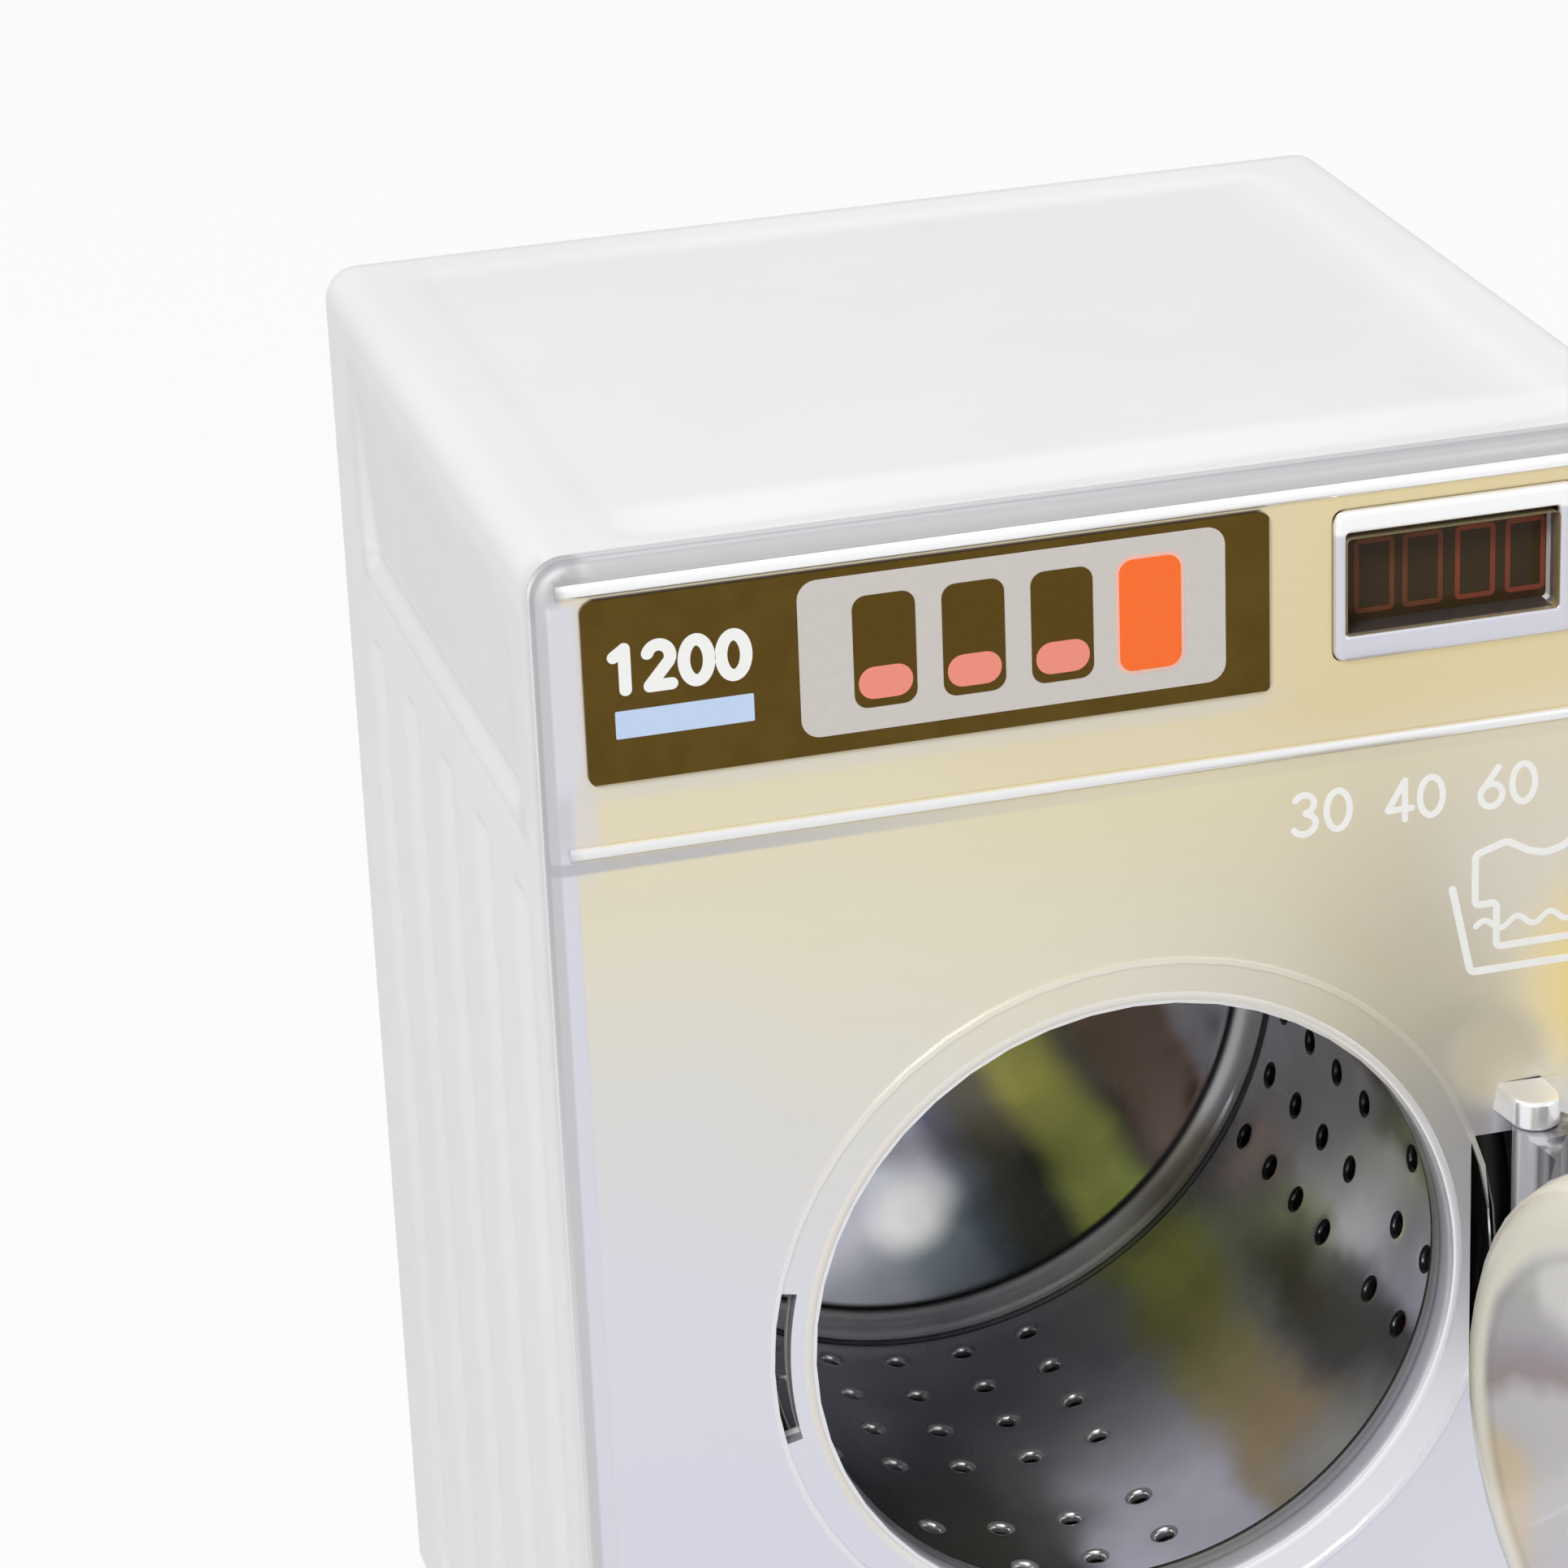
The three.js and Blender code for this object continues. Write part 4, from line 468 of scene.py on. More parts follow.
def lip_material():
    """The dimpled rims of the drum's holes: bright at the bottom and the left, painted near black as shade
    at the right.
    """
    graph = Graph("drum_lip")
    lines = graph.noise(600.0, 2.0, (0.15, 1.0, 0.15))
    bright = lines.mix((0.78, 0.78, 0.8), (0.94, 0.94, 0.96))
    # Painted shade: the rims at the right are painted near black.
    graph.finish(graph.noise(150.0), 0.03, Metallic=0.9, Roughness=lines.range(0.3, 0.7, 0.24, 0.34),
                 Base_Color=graph.xyz()[0].range(30.0, 34.0).mix(bright, (0.06, 0.06, 0.065)))


def porthole_material():
    """The opening's rolled edge: cream above, bright silver below, with painted highlight and shade bands
    inside.
    """
    graph = Graph("porthole_silver")
    x, y, z = graph.xyz()
    face = (x - (z - AXIS_Z)).range(-20.0, 25.0).mix((0.74, 0.71, 0.66), (0.88, 0.88, 0.92))
    bands = y.range(-48.4, -43.5, smooth=False).ramp(PORTHOLE_LIGHT_AND_SHADE)
    graph.finish(graph.noise(150.0), 0.03, Base_Color=y.range(-48.5, -48.1).mix(face, bands), Metallic=0.3,
                 Roughness=graph.uneven(300.0, 2.0, 0.18, 0.24))


def bowl_material():
    """Clear moulded plastic with painted reflections: cream round its corner and rim, pale lavender and
    peach over its face.
    """
    graph = Graph("bowl_clear")
    x, y, z = graph.xyz()
    across = (x - BOWL_AXIS[0]) * math.cos(DOOR_TURN) + (y - BOWL_AXIS[1]) * math.sin(DOOR_TURN)
    low = z - AXIS_Z
    haze = graph.uneven(60.0, 3.0, -1.2, 1.2)
    radius = distance(across, low) + haze * 0.3
    face = layered(
        (low + across * 0.44 + haze).range(-12.0, 24.0, smooth=False).ramp(BOWL_REFLECTIONS),
        (across.range(11.0, 17.0) * low.range(-2.0, -6.0), (0.88, 0.74, 0.54)),
        (across.range(14.5, 12.0) * low.range(10.0, 14.0), (0.94, 0.93, 0.92)),
        (radius.within(20.8, 21.8, 0.5) * 0.25, (0.4, 0.38, 0.36)))
    # Painted reflection: cream round the bowl's corner and rim.
    cream = radius.range(21.6, 23.2)
    graph.finish(graph.noise(160.0), 0.06, 0.0003, Base_Color=cream.mix(face, (0.93, 0.9, 0.78)), IOR=1.45,
                 Transmission_Weight=cream.blend(0.3, 0.12), Roughness=haze.range(-1.2, 1.2, 0.1, 0.22),
                 Coat_Weight=0.3, Coat_Roughness=0.05)


def chrome_material():
    """Bright chromed plastic with faint flow lines; the hinge barrel is darker, with painted reflections in
    upright streaks and a painted lit side.
    """
    graph = Graph("door_chrome")
    x, y, z = graph.xyz()
    from_x = x - HINGE_X
    reach = distance(from_x, y - HINGE_Y)
    barrel = (reach - z.range(81.0, 84.0).blend(0.0, 5.5)).range(3.4, 4.4, 1.0, 0.0)
    # Painted light: the barrel's side that faces left and front is painted lighter.
    band = from_x.within(-3.05, -0.95, 0.15) * reach.range(4.4, 3.6)
    dark = band.mix(graph.noise(420.0, 2.0, (1.0, 1.0, 0.05)).ramp(BARREL_REFLECTIONS), (0.64, 0.63, 0.67))
    plain = graph.noise(50.0).mix((0.7, 0.7, 0.73), (0.8, 0.8, 0.82))
    graph.finish(graph.noise(500.0), 0.04, Base_Color=barrel.mix(plain, dark),
                 Metallic=barrel.blend(1.0, 0.25), Roughness=graph.uneven(200.0, 2.0, 0.12, 0.2))


def window_material():
    """Smoked display window, nearly black."""
    graph = Graph("window_smoked")
    tint = graph.noise(80.0).mix((0.03, 0.016, 0.005), (0.045, 0.026, 0.009))
    graph.finish(graph.noise(400.0), 0.02, Base_Color=tint, Roughness=0.12, Specular_IOR_Level=0.16)


def bezel_material():
    """Bright silver frame: a painted highlight along its top bar, cooler below and inside, painted shade on
    its inner walls.
    """
    graph = Graph("bezel_silver")
    _, y, z = graph.xyz()
    # Painted highlight along the top bar, and painted shade on the walls that run back to the window.
    bar = z.range(147.9, 148.4).mix((0.66, 0.66, 0.73), (0.96, 0.96, 0.97))
    recess = y.range(FRONT_Y - 0.35, FRONT_Y - 0.1)
    graph.finish(graph.noise(150.0), 0.03, Base_Color=recess.mix(bar, (0.2, 0.18, 0.17)), Metallic=0.7,
                 Roughness=graph.uneven(300.0, 2.0, 0.2, 0.26))


shell_material()
panel_material()
label_material()
window_material()
drum_material()
chrome_material()
bowl_material()
bezel_material()
lip_material()
porthole_material()
moulded("lug_silver", (0.88, 0.88, 0.9), 0.2, grain=300.0, strength=0.02, metallic=0.6)
moulded("inner_grey", (0.46, 0.47, 0.49), 0.48)
moulded("black_plastic", (0.016, 0.016, 0.018), 0.42)
moulded("gear_acetal", (0.72, 0.75, 0.78), 0.42)
moulded("nylon", (0.84, 0.81, 0.72), 0.5)
moulded("lead_red", (0.42, 0.018, 0.012), 0.5)
moulded("lead_black", (0.012, 0.012, 0.012), 0.5)
brushed("cell_jacket", (0.055, 0.09, 0.18), 0.3, (0.05, 1.0, 1.0), metallic=0.3)
brushed("steel", (0.55, 0.56, 0.58), 0.26, (1.0, 0.1, 1.0))
brushed("brass", (0.62, 0.42, 0.16), 0.24, (1.0, 0.1, 1.0))
printed("card_brown", (0.035, 0.02, 0.008))
printed("ink_white", (0.9, 0.9, 0.88), 0.35)
printed("ink_pale", (0.62, 0.58, 0.55))
printed("ink_slot", (0.092, 0.052, 0.003))
printed("ink_pink", (0.87, 0.29, 0.22))
printed("ink_blush", (0.86, 0.52, 0.43))
printed("ink_orange", (1.0, 0.17, 0.032))
printed("ink_blue", (0.55, 0.67, 0.88))
printed("ink_ember", (0.13, 0.045, 0.02))
printed("ink_rust", (0.19, 0.048, 0.026))


def linked(name, data):
    made = bpy.data.objects.new(name, data)
    bpy.context.scene.collection.objects.link(made)
    return made


def new_piece(name, mesh, material, body="cabinet", slot=None):
    """A piece of the looks on a body, with its material. The slot argument is not used."""
    piece = linked(name, mesh)
    mesh.materials.clear()
    mesh.materials.append(MATERIALS[material])
    slot = slot or material
    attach(piece, body)
    return piece


def shade_round(mesh, sharp=None):
    """Round faces shade as round, and edges steeper than the angle stay sharp."""
    mesh.shade_smooth()
    if sharp:
        mesh.set_sharp_from_angle(angle=math.radians(sharp))


def shade_even(piece, sharp):
    """As shade_round, and flat faces next to round ones stay flat."""
    shade_round(piece.data, sharp)
    piece.modifiers.new("even_normals", "WEIGHTED_NORMAL").keep_sharp = True


def refined(node, sharp=38.0, without=None):
    """The node's own shape, welded and evenly shaded, standing for the node."""
    source = NODES[node]
    bm = bmesh.new()
    bm.from_mesh(source.data)
    bmesh.ops.remove_doubles(bm, verts=bm.verts, dist=WELD)
    if without:
        gone = [face for face in bm.faces if without(face)]
        bmesh.ops.delete(bm, geom=gone, context="FACES")
    mesh = bpy.data.meshes.new(node + "_look")
    bm.to_mesh(mesh)
    bm.free()
    for attribute in [a for a in mesh.attributes if a.name == "custom_normal"]:
        mesh.attributes.remove(attribute)
    piece = new_piece(node + "_look", mesh, SLOTS[node], source["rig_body"])
    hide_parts(node)
    shade_even(piece, sharp)


def mesh_from(name, points, faces):
    mesh = bpy.data.meshes.new(name)
    mesh.from_pydata([Vector(p) * MM for p in points], [], faces)
    mesh.update()
    return mesh


def set_outward(mesh, weld=None):
    """Turns every face outward, after welding points that are nearer than weld."""
    bm = bmesh.new()
    bm.from_mesh(mesh)
    if weld:
        bmesh.ops.remove_doubles(bm, verts=bm.verts, dist=weld)
    bmesh.ops.recalc_face_normals(bm, faces=bm.faces)
    bm.to_mesh(mesh)
    bm.free()


def numbered(loops, length):
    """Point numbers of loops that were added one after another."""
    return [range(index * length, (index + 1) * length) for index in range(loops)]


def bridged(loops, closed=True):
    """Four-sided faces between each loop of point numbers and the next."""
    faces = []
    for first, second in zip(loops, loops[1:]):
        for step in range(len(first) if closed else len(first) - 1):
            after = (step + 1) % len(first)
            faces.append((first[step], first[after], second[after], second[step]))
    return faces


def spun(profile, sides):
    """Points and faces of a profile of radius and height turned about the third axis."""
    points = []
    for radius, height in profile:
        for index in range(sides):
            turn = 2 * math.pi * index / sides
            points.append((radius * math.cos(turn), radius * math.sin(turn), height))
    return points, bridged(numbered(len(profile), sides))


def turned(name, profile, sides, sharp, *finish):
    """A profile of radius and Y turned about the drum's axis."""
    points, faces = spun(profile, sides)
    mesh = mesh_from(name, [(x, y, AXIS_Z + z) for x, z, y in points], faces)
    set_outward(mesh, WELD)
    new_piece(name, mesh, *finish)
    shade_round(mesh, sharp)


def rounded(x0, x1, z0, z1, radius, steps=6):
    """A rounded rectangle's outline in X and Z."""
    corners = ((x1 - radius, z0 + radius, -90), (x1 - radius, z1 - radius, 0),
               (x0 + radius, z1 - radius, 90), (x0 + radius, z0 + radius, 180))
    outline = []
    for cx, cz, start in corners:
        outline += arc(cx, cz, radius, radius, start, start + 90, steps)
    return outline


def arc(cx, cz, rx, rz, start, end, steps=14):
    turns = [math.radians(start + (end - start) * step / steps) for step in range(steps + 1)]
    return [(cx + rx * math.cos(turn), cz + rz * math.sin(turn)) for turn in turns]


def film(name, outline, back_y, thickness, material, slot="label_brown"):
    """A thin printed or laid-on shape on a face that looks to the front."""
    count = len(outline)
    points = [(x, y, z) for y in (back_y, back_y - thickness) for x, z in outline]
    faces = [tuple(range(count, 2 * count)), tuple(reversed(range(count)))] + bridged(numbered(2, count))
    new_piece(name, mesh_from(name, points, faces), material, slot=slot)


def softened(points, reach, closed):
    """The same line with each sharp corner turned into a small curve."""
    count = len(points)
    line = []
    for index, (x, z) in enumerate(points):
        if not closed and index in (0, count - 1):
            line.append((x, z))
            continue
        legs = []
        for other in (points[index - 1], points[(index + 1) % count]):
            length = math.hypot(other[0] - x, other[1] - z)
            share = min(reach, 0.45 * length) / max(length, 1e-6)
            legs.append((x + (other[0] - x) * share, z + (other[1] - z) * share))
        (ax, az), (bx, bz) = legs
        cross = (x - ax) * (bz - z) - (z - az) * (bx - x)
        ahead = (x - ax) * (bx - x) + (z - az) * (bz - z)
        if abs(math.atan2(cross, ahead)) < 0.5:
            line.append((x, z))
            continue
        for t in (0.0, 0.25, 0.5, 0.75, 1.0):
            line.append(((1 - t) ** 2 * ax + 2 * t * (1 - t) * x + t * t * bx,
                         (1 - t) ** 2 * az + 2 * t * (1 - t) * z + t * t * bz))
    return line


def ribbon(line, half, front_y, back_y, points, faces):
    """Adds one flat line with round ends, or a ring where the line ends at its start."""
    closed = math.dist(line[0], line[-1]) < 1e-6
    if closed:
        line = line[:-1]
    line = softened(line, 1.5 * half, closed)
    count = len(line)
    first = len(points)
    ways = []
    for index, (x, z) in enumerate(line):
        before = line[index - 1] if closed or index else (x, z)
        after = line[(index + 1) % count] if closed or index < count - 1 else (x, z)
        length = max(math.dist(before, after), 1e-6)
        dx, dz = (after[0] - before[0]) / length, (after[1] - before[1]) / length
        ways.append((dx, dz))
        for side in (1.0, -1.0):
            for y in (front_y, back_y):
                points.append((x - side * dz * half, y, z + side * dx * half))
    for index in range(count if closed else count - 1):
        here, there = first + 4 * index, first + 4 * ((index + 1) % count)
        faces += [(here, here + 2, there + 2, there), (here + 1, here, there, there + 1),
                  (here + 2, here + 3, there + 3, there + 2)]
    for index, sign in ((0, -1.0), (count - 1, 1.0)) if not closed else ():
        (x, z), (dx, dz) = line[index], ways[index]
        first = len(points)
        for step in range(END_STEPS + 1):
            turn = math.radians(90.0 - 180.0 * step / END_STEPS)
            along, across = sign * half * math.cos(turn), half * math.sin(turn)
            for y in (front_y, back_y):
                points.append((x + dx * along - dz * across, y, z + dz * along + dx * across))
        faces.append(tuple(first + 2 * step for step in range(END_STEPS + 1)))
        faces += [(first + 2 * step, first + 2 * step + 1, first + 2 * step + 3, first + 2 * step + 2)
                  for step in range(END_STEPS)]


def stroke(name, lines, width, back_y, material, slot="label_brown", thickness=0.05):
    """Flat printed lines, each a hair nearer the front than the last."""
    points = []
    faces = []
    for level, line in enumerate(lines):
        ribbon(line, width / 2, back_y - thickness - 0.006 * level, back_y, points, faces)
    new_piece(name, mesh_from(name, points, faces), material, slot=slot)


END_STEPS = 8
GLYPHS = {
    "0": [arc(0.3, 0.5, 0.28, 0.47, 90, 450, 36)],
    "1": [[(0.12, 0.8), (0.34, 0.95)], [(0.36, 0.97), (0.36, 0.03)]],
    "2": [arc(0.29, 0.7, 0.26, 0.27, 160, -30) + [(0.07, 0.05)], [(0.07, 0.04), (0.56, 0.04)]],
    "3": [arc(0.27, 0.75, 0.24, 0.23, 150, -80), arc(0.27, 0.26, 0.28, 0.25, 80, -150)],
    "4": [[(0.45, 0.02), (0.45, 0.98)], [(0.44, 0.97), (0.04, 0.29)], [(0.04, 0.28), (0.62, 0.28)]],
    "6": [arc(0.3, 0.3, 0.27, 0.28, 150, 510, 30), [(0.47, 0.97), (0.065, 0.42)]],
}


def figures(name, text, height, x, z, width, advance, back_y):
    """Plain white figures drawn as round-ended strokes, their left foot at x and z."""
    for index, letter in enumerate(text):
        left = x + index * advance
        lines = [[(left + px * height, z + pz * height) for px, pz in line] for line in GLYPHS[letter]]
        stroke(f"{name}_{index + 1}", lines, width, back_y, "ink_white")


def smooth_step(value, low, high):
    share = min(1.0, max(0.0, (value - low) / (high - low)))
    return share * share * (3.0 - 2.0 * share)


def window(value, low, high, soft_low, soft_high=None):
    """1 between low and high, 0 elsewhere, with an end that may be softer than the other."""
    soft_high = soft_high or soft_low
    rise = smooth_step(value, low - soft_low, low + soft_low)
    return rise * (1.0 - smooth_step(value, high - soft_high, high + soft_high))


SHELL_FRONT = -46.0
SHELL_BACK = 48.5
SHELL_LOW = 2.0
CORNER = 3.5
CORNER_STEPS = 12
BACK_SOFT = 2.2
BACK_STEPS = 8
GRIP_Y = (-35.5, 33.5)
GRIP_Z = (126.9, 146.0)
FLUTES = [-35.5 + 16.6 * index for index in range(5)]
FLUTE_HALF_WIDTH = 4.5
FLUTE_DEPTH = 0.68
TRAY_X = 46.2
TRAY_Y = (-43.9, 41.5)
TRAY_RADIUS = 4.0
TRAY_DEPTH = 0.36


def side_relief(y, z):
    """How far the side's face lies inside its plane: the slanted grip and the shallow flutes."""
    grip = window(y, *GRIP_Y, 3.5, 1.2) * window(z, *GRIP_Z, 1.3)
    slope = 0.1 + 1.3 * min(1.0, max(0.0, (GRIP_Z[1] - z) / (GRIP_Z[1] - GRIP_Z[0])))
    depth = grip * slope
    tall = window(z, 8.4, 118.6, 0.9)
    for middle in FLUTES:
        away = abs(y - middle)
        if away < FLUTE_HALF_WIDTH:
            depth += FLUTE_DEPTH * tall * math.cos(math.pi * away / (2 * FLUTE_HALF_WIDTH)) ** 2
    return depth


def tray_relief(x, y):
    inset_x = TRAY_X - abs(x)
    inset_y = min(y - TRAY_Y[0], TRAY_Y[1] - y)
    inset = min(inset_x, inset_y)
    if max(inset_x, inset_y) < TRAY_RADIUS:
        inset = TRAY_RADIUS - math.hypot(TRAY_RADIUS - inset_x, TRAY_RADIUS - inset_y)
    return TRAY_DEPTH * smooth_step(inset, -1.7, 1.7)


def spread(stops):
    """Positions from pairs of an end and the spacing that leads to it."""
    values = [stops[0][0]]
    for end, pitch in stops[1:]:
        start = values[-1]
        count = max(1, round((end - start) / pitch))
        values += [start + (end - start) * step / count for step in range(1, count + 1)]
    return values


def shell_corner(middle, start):
    """Points and outward ways round an upper corner of the shell, a quarter turn down from start."""
    made = []
    for step in range(1, CORNER_STEPS):
        turn = math.radians(start - 90.0 * step / CORNER_STEPS)
        nx, nz = math.cos(turn), math.sin(turn)
        made.append((middle + CORNER * nx, TOP_Z - CORNER + CORNER * nz, nx, nz))
    return made


def make_shell_skin():
    """The shell's outer skin as one fine sheet, with its relief as soft as it is moulded."""
    heights = spread([(SHELL_LOW, 0), (7.0, 2.5), (10.0, 0.6), (117.0, 6.0), (120.5, 0.5), (125.8, 1.8),
                      (128.2, 0.3), (144.6, 1.8), (147.2, 0.45), (TOP_Z - CORNER, 1.4)])
    middle = HALF_WIDTH - CORNER
    across = spread([(-middle, 0), (-43.8, 0.5), (43.8, 3.0), (middle, 0.5)])
    outline = [(-HALF_WIDTH, z, -1.0, 0.0) for z in heights] + shell_corner(-middle, 180.0)
    outline += [(x, TOP_Z, 0.0, 1.0) for x in across] + shell_corner(middle, 90.0)
    outline += [(HALF_WIDTH, z, 1.0, 0.0) for z in reversed(heights)]
    soft_start = SHELL_BACK - BACK_SOFT
    lengths = [(y, 0.0) for y in spread([(SHELL_FRONT, 0), (-42.6, 0.35), (-40.4, 1.1), (36.4, 0.6),
                                         (42.6, 0.6), (soft_start, 1.2)])]
    for step in range(1, BACK_STEPS + 1):
        turn = math.pi / 2 * step / BACK_STEPS
        lengths.append((soft_start + BACK_SOFT * math.sin(turn), BACK_SOFT * (1.0 - math.cos(turn))))
    points = []
    for y, inset in lengths:
        for x, z, nx, nz in outline:
            depth = inset
            if nz == 0.0:
                depth += side_relief(y, z)
            elif nx == 0.0:
                depth += tray_relief(x, y)
            points.append((x - nx * depth, y, z - nz * depth))
    faces = bridged(numbered(len(lengths), len(outline)), closed=False)
    mesh = mesh_from("shell_skin", points, faces)
    new_piece("shell_skin", mesh, "shell_white")
    shade_round(mesh)


def on_skin(face):
    """True for the faces of the shell that its skin stands for."""
    if abs(face.normal.y) > 0.95 and not -45.0 * MM < face.calc_center_median().y < 47.0 * MM:
        return False
    return all(max(abs(v.co.x) - 52.9 * MM, v.co.z - 152.9 * MM) > 0 for v in face.verts)


def raised_on_panel(face):
    """True for the panel's hinge lugs, display bezel and porthole wall, which have pieces of their own."""
    if all(math.hypot(v.co.x, v.co.z - AXIS_Z * MM) < 32.2 * MM for v in face.verts):
        return True
    x, y, z = face.calc_center_median() / MM
    if y > FRONT_Y - 0.1:
        return False
    lug = x > 35.5 and abs(z - AXIS_Z) < 19.0
    bezel = DISPLAY[0] - 0.1 < x < DISPLAY[1] + 0.1 and DISPLAY[2] - 0.1 < z < DISPLAY[3] + 0.1
    return lug or bezel


def make_bezel():
    """A soft-edged frame round the display, with walls that run back to the window."""
    outside = ((0.0, 1.3, 0.1), (0.0, 1.3, -0.25), (0.12, 1.2, -0.55), (0.35, 1.0, -0.75), (0.6, 0.8, -0.8))
    inside = ((-0.45, 0.6, -0.8), (-0.22, 0.45, -0.74), (-0.06, 0.35, -0.58), (0.0, 0.3, -0.35),
              (0.0, 0.3, WINDOW_Y - FRONT_Y - 0.02))
    loops = []
    for (x0, x1, z0, z1), levels in ((DISPLAY, outside), (DISPLAY_OPENING, inside)):
        for inset, radius, back in levels:
            outline = rounded(x0 + inset, x1 - inset, z0 + inset, z1 - inset, radius, 5)
            loops.append([(x, FRONT_Y + back, z) for x, z in outline])
    points = [point for loop in loops for point in loop]
    faces = bridged(numbered(len(loops), len(loops[0]))[::-1])
    mesh = mesh_from("display_bezel", points, faces)
    new_piece("display_bezel", mesh, "bezel_silver", slot="panel_champagne")
    shade_round(mesh, 60.0)


def make_lug(name, low, high):
    """A hinge knuckle with a round nose, straight sides back to the panel and soft rims."""
    centre_x, centre_y, nose = 39.25, -51.7, 2.45
    root_y, neck_y = FRONT_Y + 0.05, FRONT_Y - 1.2
    levels = ((0.4, low), (0.12, low + 0.1), (0.0, low + 0.35), (0.0, high - 0.5), (0.07, high - 0.27),
              (0.24, high - 0.09), (0.55, high))
    points = []
    for inset, z in levels:
        radius = nose - inset
        flare = 0.55 * (high - z) / (high - low)
        points += [(centre_x - radius - flare, root_y, z), (centre_x - radius - 0.5 * flare, neck_y, z)]
        points += [(x, y, z) for x, y in arc(centre_x, centre_y, radius, radius, 180, 360, 24)]
        points += [(centre_x + radius, neck_y, z), (centre_x + radius, root_y, z)]
    count = len(points) // len(levels)
    faces = [tuple(reversed(range(count))), tuple(range(len(points) - count, len(points)))]
    faces += bridged(numbered(len(levels), count))
    shade_even(new_piece(name, mesh_from(name, points, faces), "lug_silver", slot="panel_champagne"), 60.0)
    foot = [(36.4, low - 0.2), (44.5, low - 0.2), (44.5, high + 0.2), (36.4, high + 0.2)]
    film(name + "_foot", foot, FRONT_Y + 0.3, 0.305, "panel_champagne", slot="panel_champagne")


# Nodes that stay as they are take a material of their slot
for node, slot in SLOTS.items():
    for holder in NODES[node].material_slots:
        holder.material = MATERIALS[slot]

# Cabinet
make_shell_skin()
refined("main_shell", without=on_skin)
refined("front_panel", without=raised_on_panel)
make_bezel()
make_lug("hinge_lug_upper", 86.7, 89.7)
make_lug("hinge_lug_lower", 53.7, 56.7)
turned("porthole_lip", [(33.3, -48.48), (33.0, -48.6), (32.75, -48.63), (32.45, -48.55), (32.2, -48.3),
                        (32.06, -47.9), (32.0, -47.3), (32.0, -43.5), (32.3, -43.46)],
       160, None, "porthole_silver", "cabinet", "panel_champagne")
refined("rear_cover")
refined("battery_cover")
refined("base_plate")
refined("switch_slider")
refined("hinge_pin")

# Control label: a light field with four printed slots, a plain figure and a bar
film("label_field", rounded(-31.1, 9.3, TOP_Z - 19.5, TOP_Z - 4.4, 1.8), LABEL_Y, 0.05, "ink_pale")
SLOT_PITCH = 8.38
SLOT_Z = (TOP_Z - 17.3, TOP_Z - 6.5)
for index in range(3):
    left = -26.06 + SLOT_PITCH * index
    outline = rounded(left, left + 5.9, *SLOT_Z, 1.3)
    film(f"label_slot_{index + 1}", outline, LABEL_Y - 0.05, 0.04, "ink_slot")
    film(f"label_pill_{index + 1}", rounded(left + 0.4, left + 5.5, TOP_Z - 16.5, TOP_Z - 13.4, 1.5),
         LABEL_Y - 0.09, 0.04, "ink_pink")
film("label_halo", rounded(-1.25, 5.35, TOP_Z - 17.65, TOP_Z - 6.15, 1.6), LABEL_Y - 0.05, 0.03, "ink_blush")
film("label_block", rounded(-0.9, 5.0, *SLOT_Z, 1.3), LABEL_Y - 0.08, 0.04, "ink_orange")
figures("label_figure", "1200", 4.15, -48.6, TOP_Z - 12.5, 1.15, 3.42, LABEL_Y)
film("label_bar", rounded(-48.2, -35.4, TOP_Z - 17.0, TOP_Z - 14.35, 0.15), LABEL_Y, 0.05, "ink_blue")

# Display: faint figure outlines behind the smoked window's face
for index, (left, ink) in enumerate(((23.1, "ember"), (27.9, "ember"), (33.1, "rust"), (38.1, "rust"))):
    outline = rounded(left, left + 3.5, TOP_Z - 15.7, TOP_Z - 8.9, 0.25, steps=2)
    stroke(f"display_figure_{index + 1}", [outline + outline[:1]], 0.5, WINDOW_Y, "ink_" + ink,
           slot="card_brown", thickness=0.02)

# Figures and a plain wash pictogram printed on the panel
for index, pair in enumerate(("30", "40", "60")):
    figures(f"panel_figures_{index + 1}", pair, 4.1, 15.9 + 9.3 * index, TOP_Z - 36.3, 0.62, 3.25, FRONT_Y)
TUB = ((31.9, -44.2), (33.8, -53.1), (48.9, -53.1), (50.8, -44.2))
GARMENT = (
    (34.2, -46.2), (34.2, -41.0), (37.4, -40.0), (39.6, -41.3), (41.4, -41.8), (43.2, -41.3), (45.0, -40.0),
    (48.6, -41.2), (48.6, -46.2), (46.4, -46.2), (46.4, -50.8), (36.4, -50.8), (36.4, -46.2), (34.2, -46.2))
stroke("pictogram_tub", [[(x, TOP_Z + z) for x, z in TUB]], 0.75, FRONT_Y, "ink_white")
stroke("pictogram_garment", [[(x, TOP_Z + z) for x, z in GARMENT]], 0.7, FRONT_Y, "ink_white")
wave = [(34.3 + 0.15 * step, TOP_Z - 48.4 + 0.5 * math.sin(step * 0.28)) for step in range(92)]
stroke("pictogram_wave", [wave], 0.6, FRONT_Y - 0.02, "ink_white")

# Door
refined("door_frame")
refined("door_bowl", sharp=60.0)
refined("door_retainer")

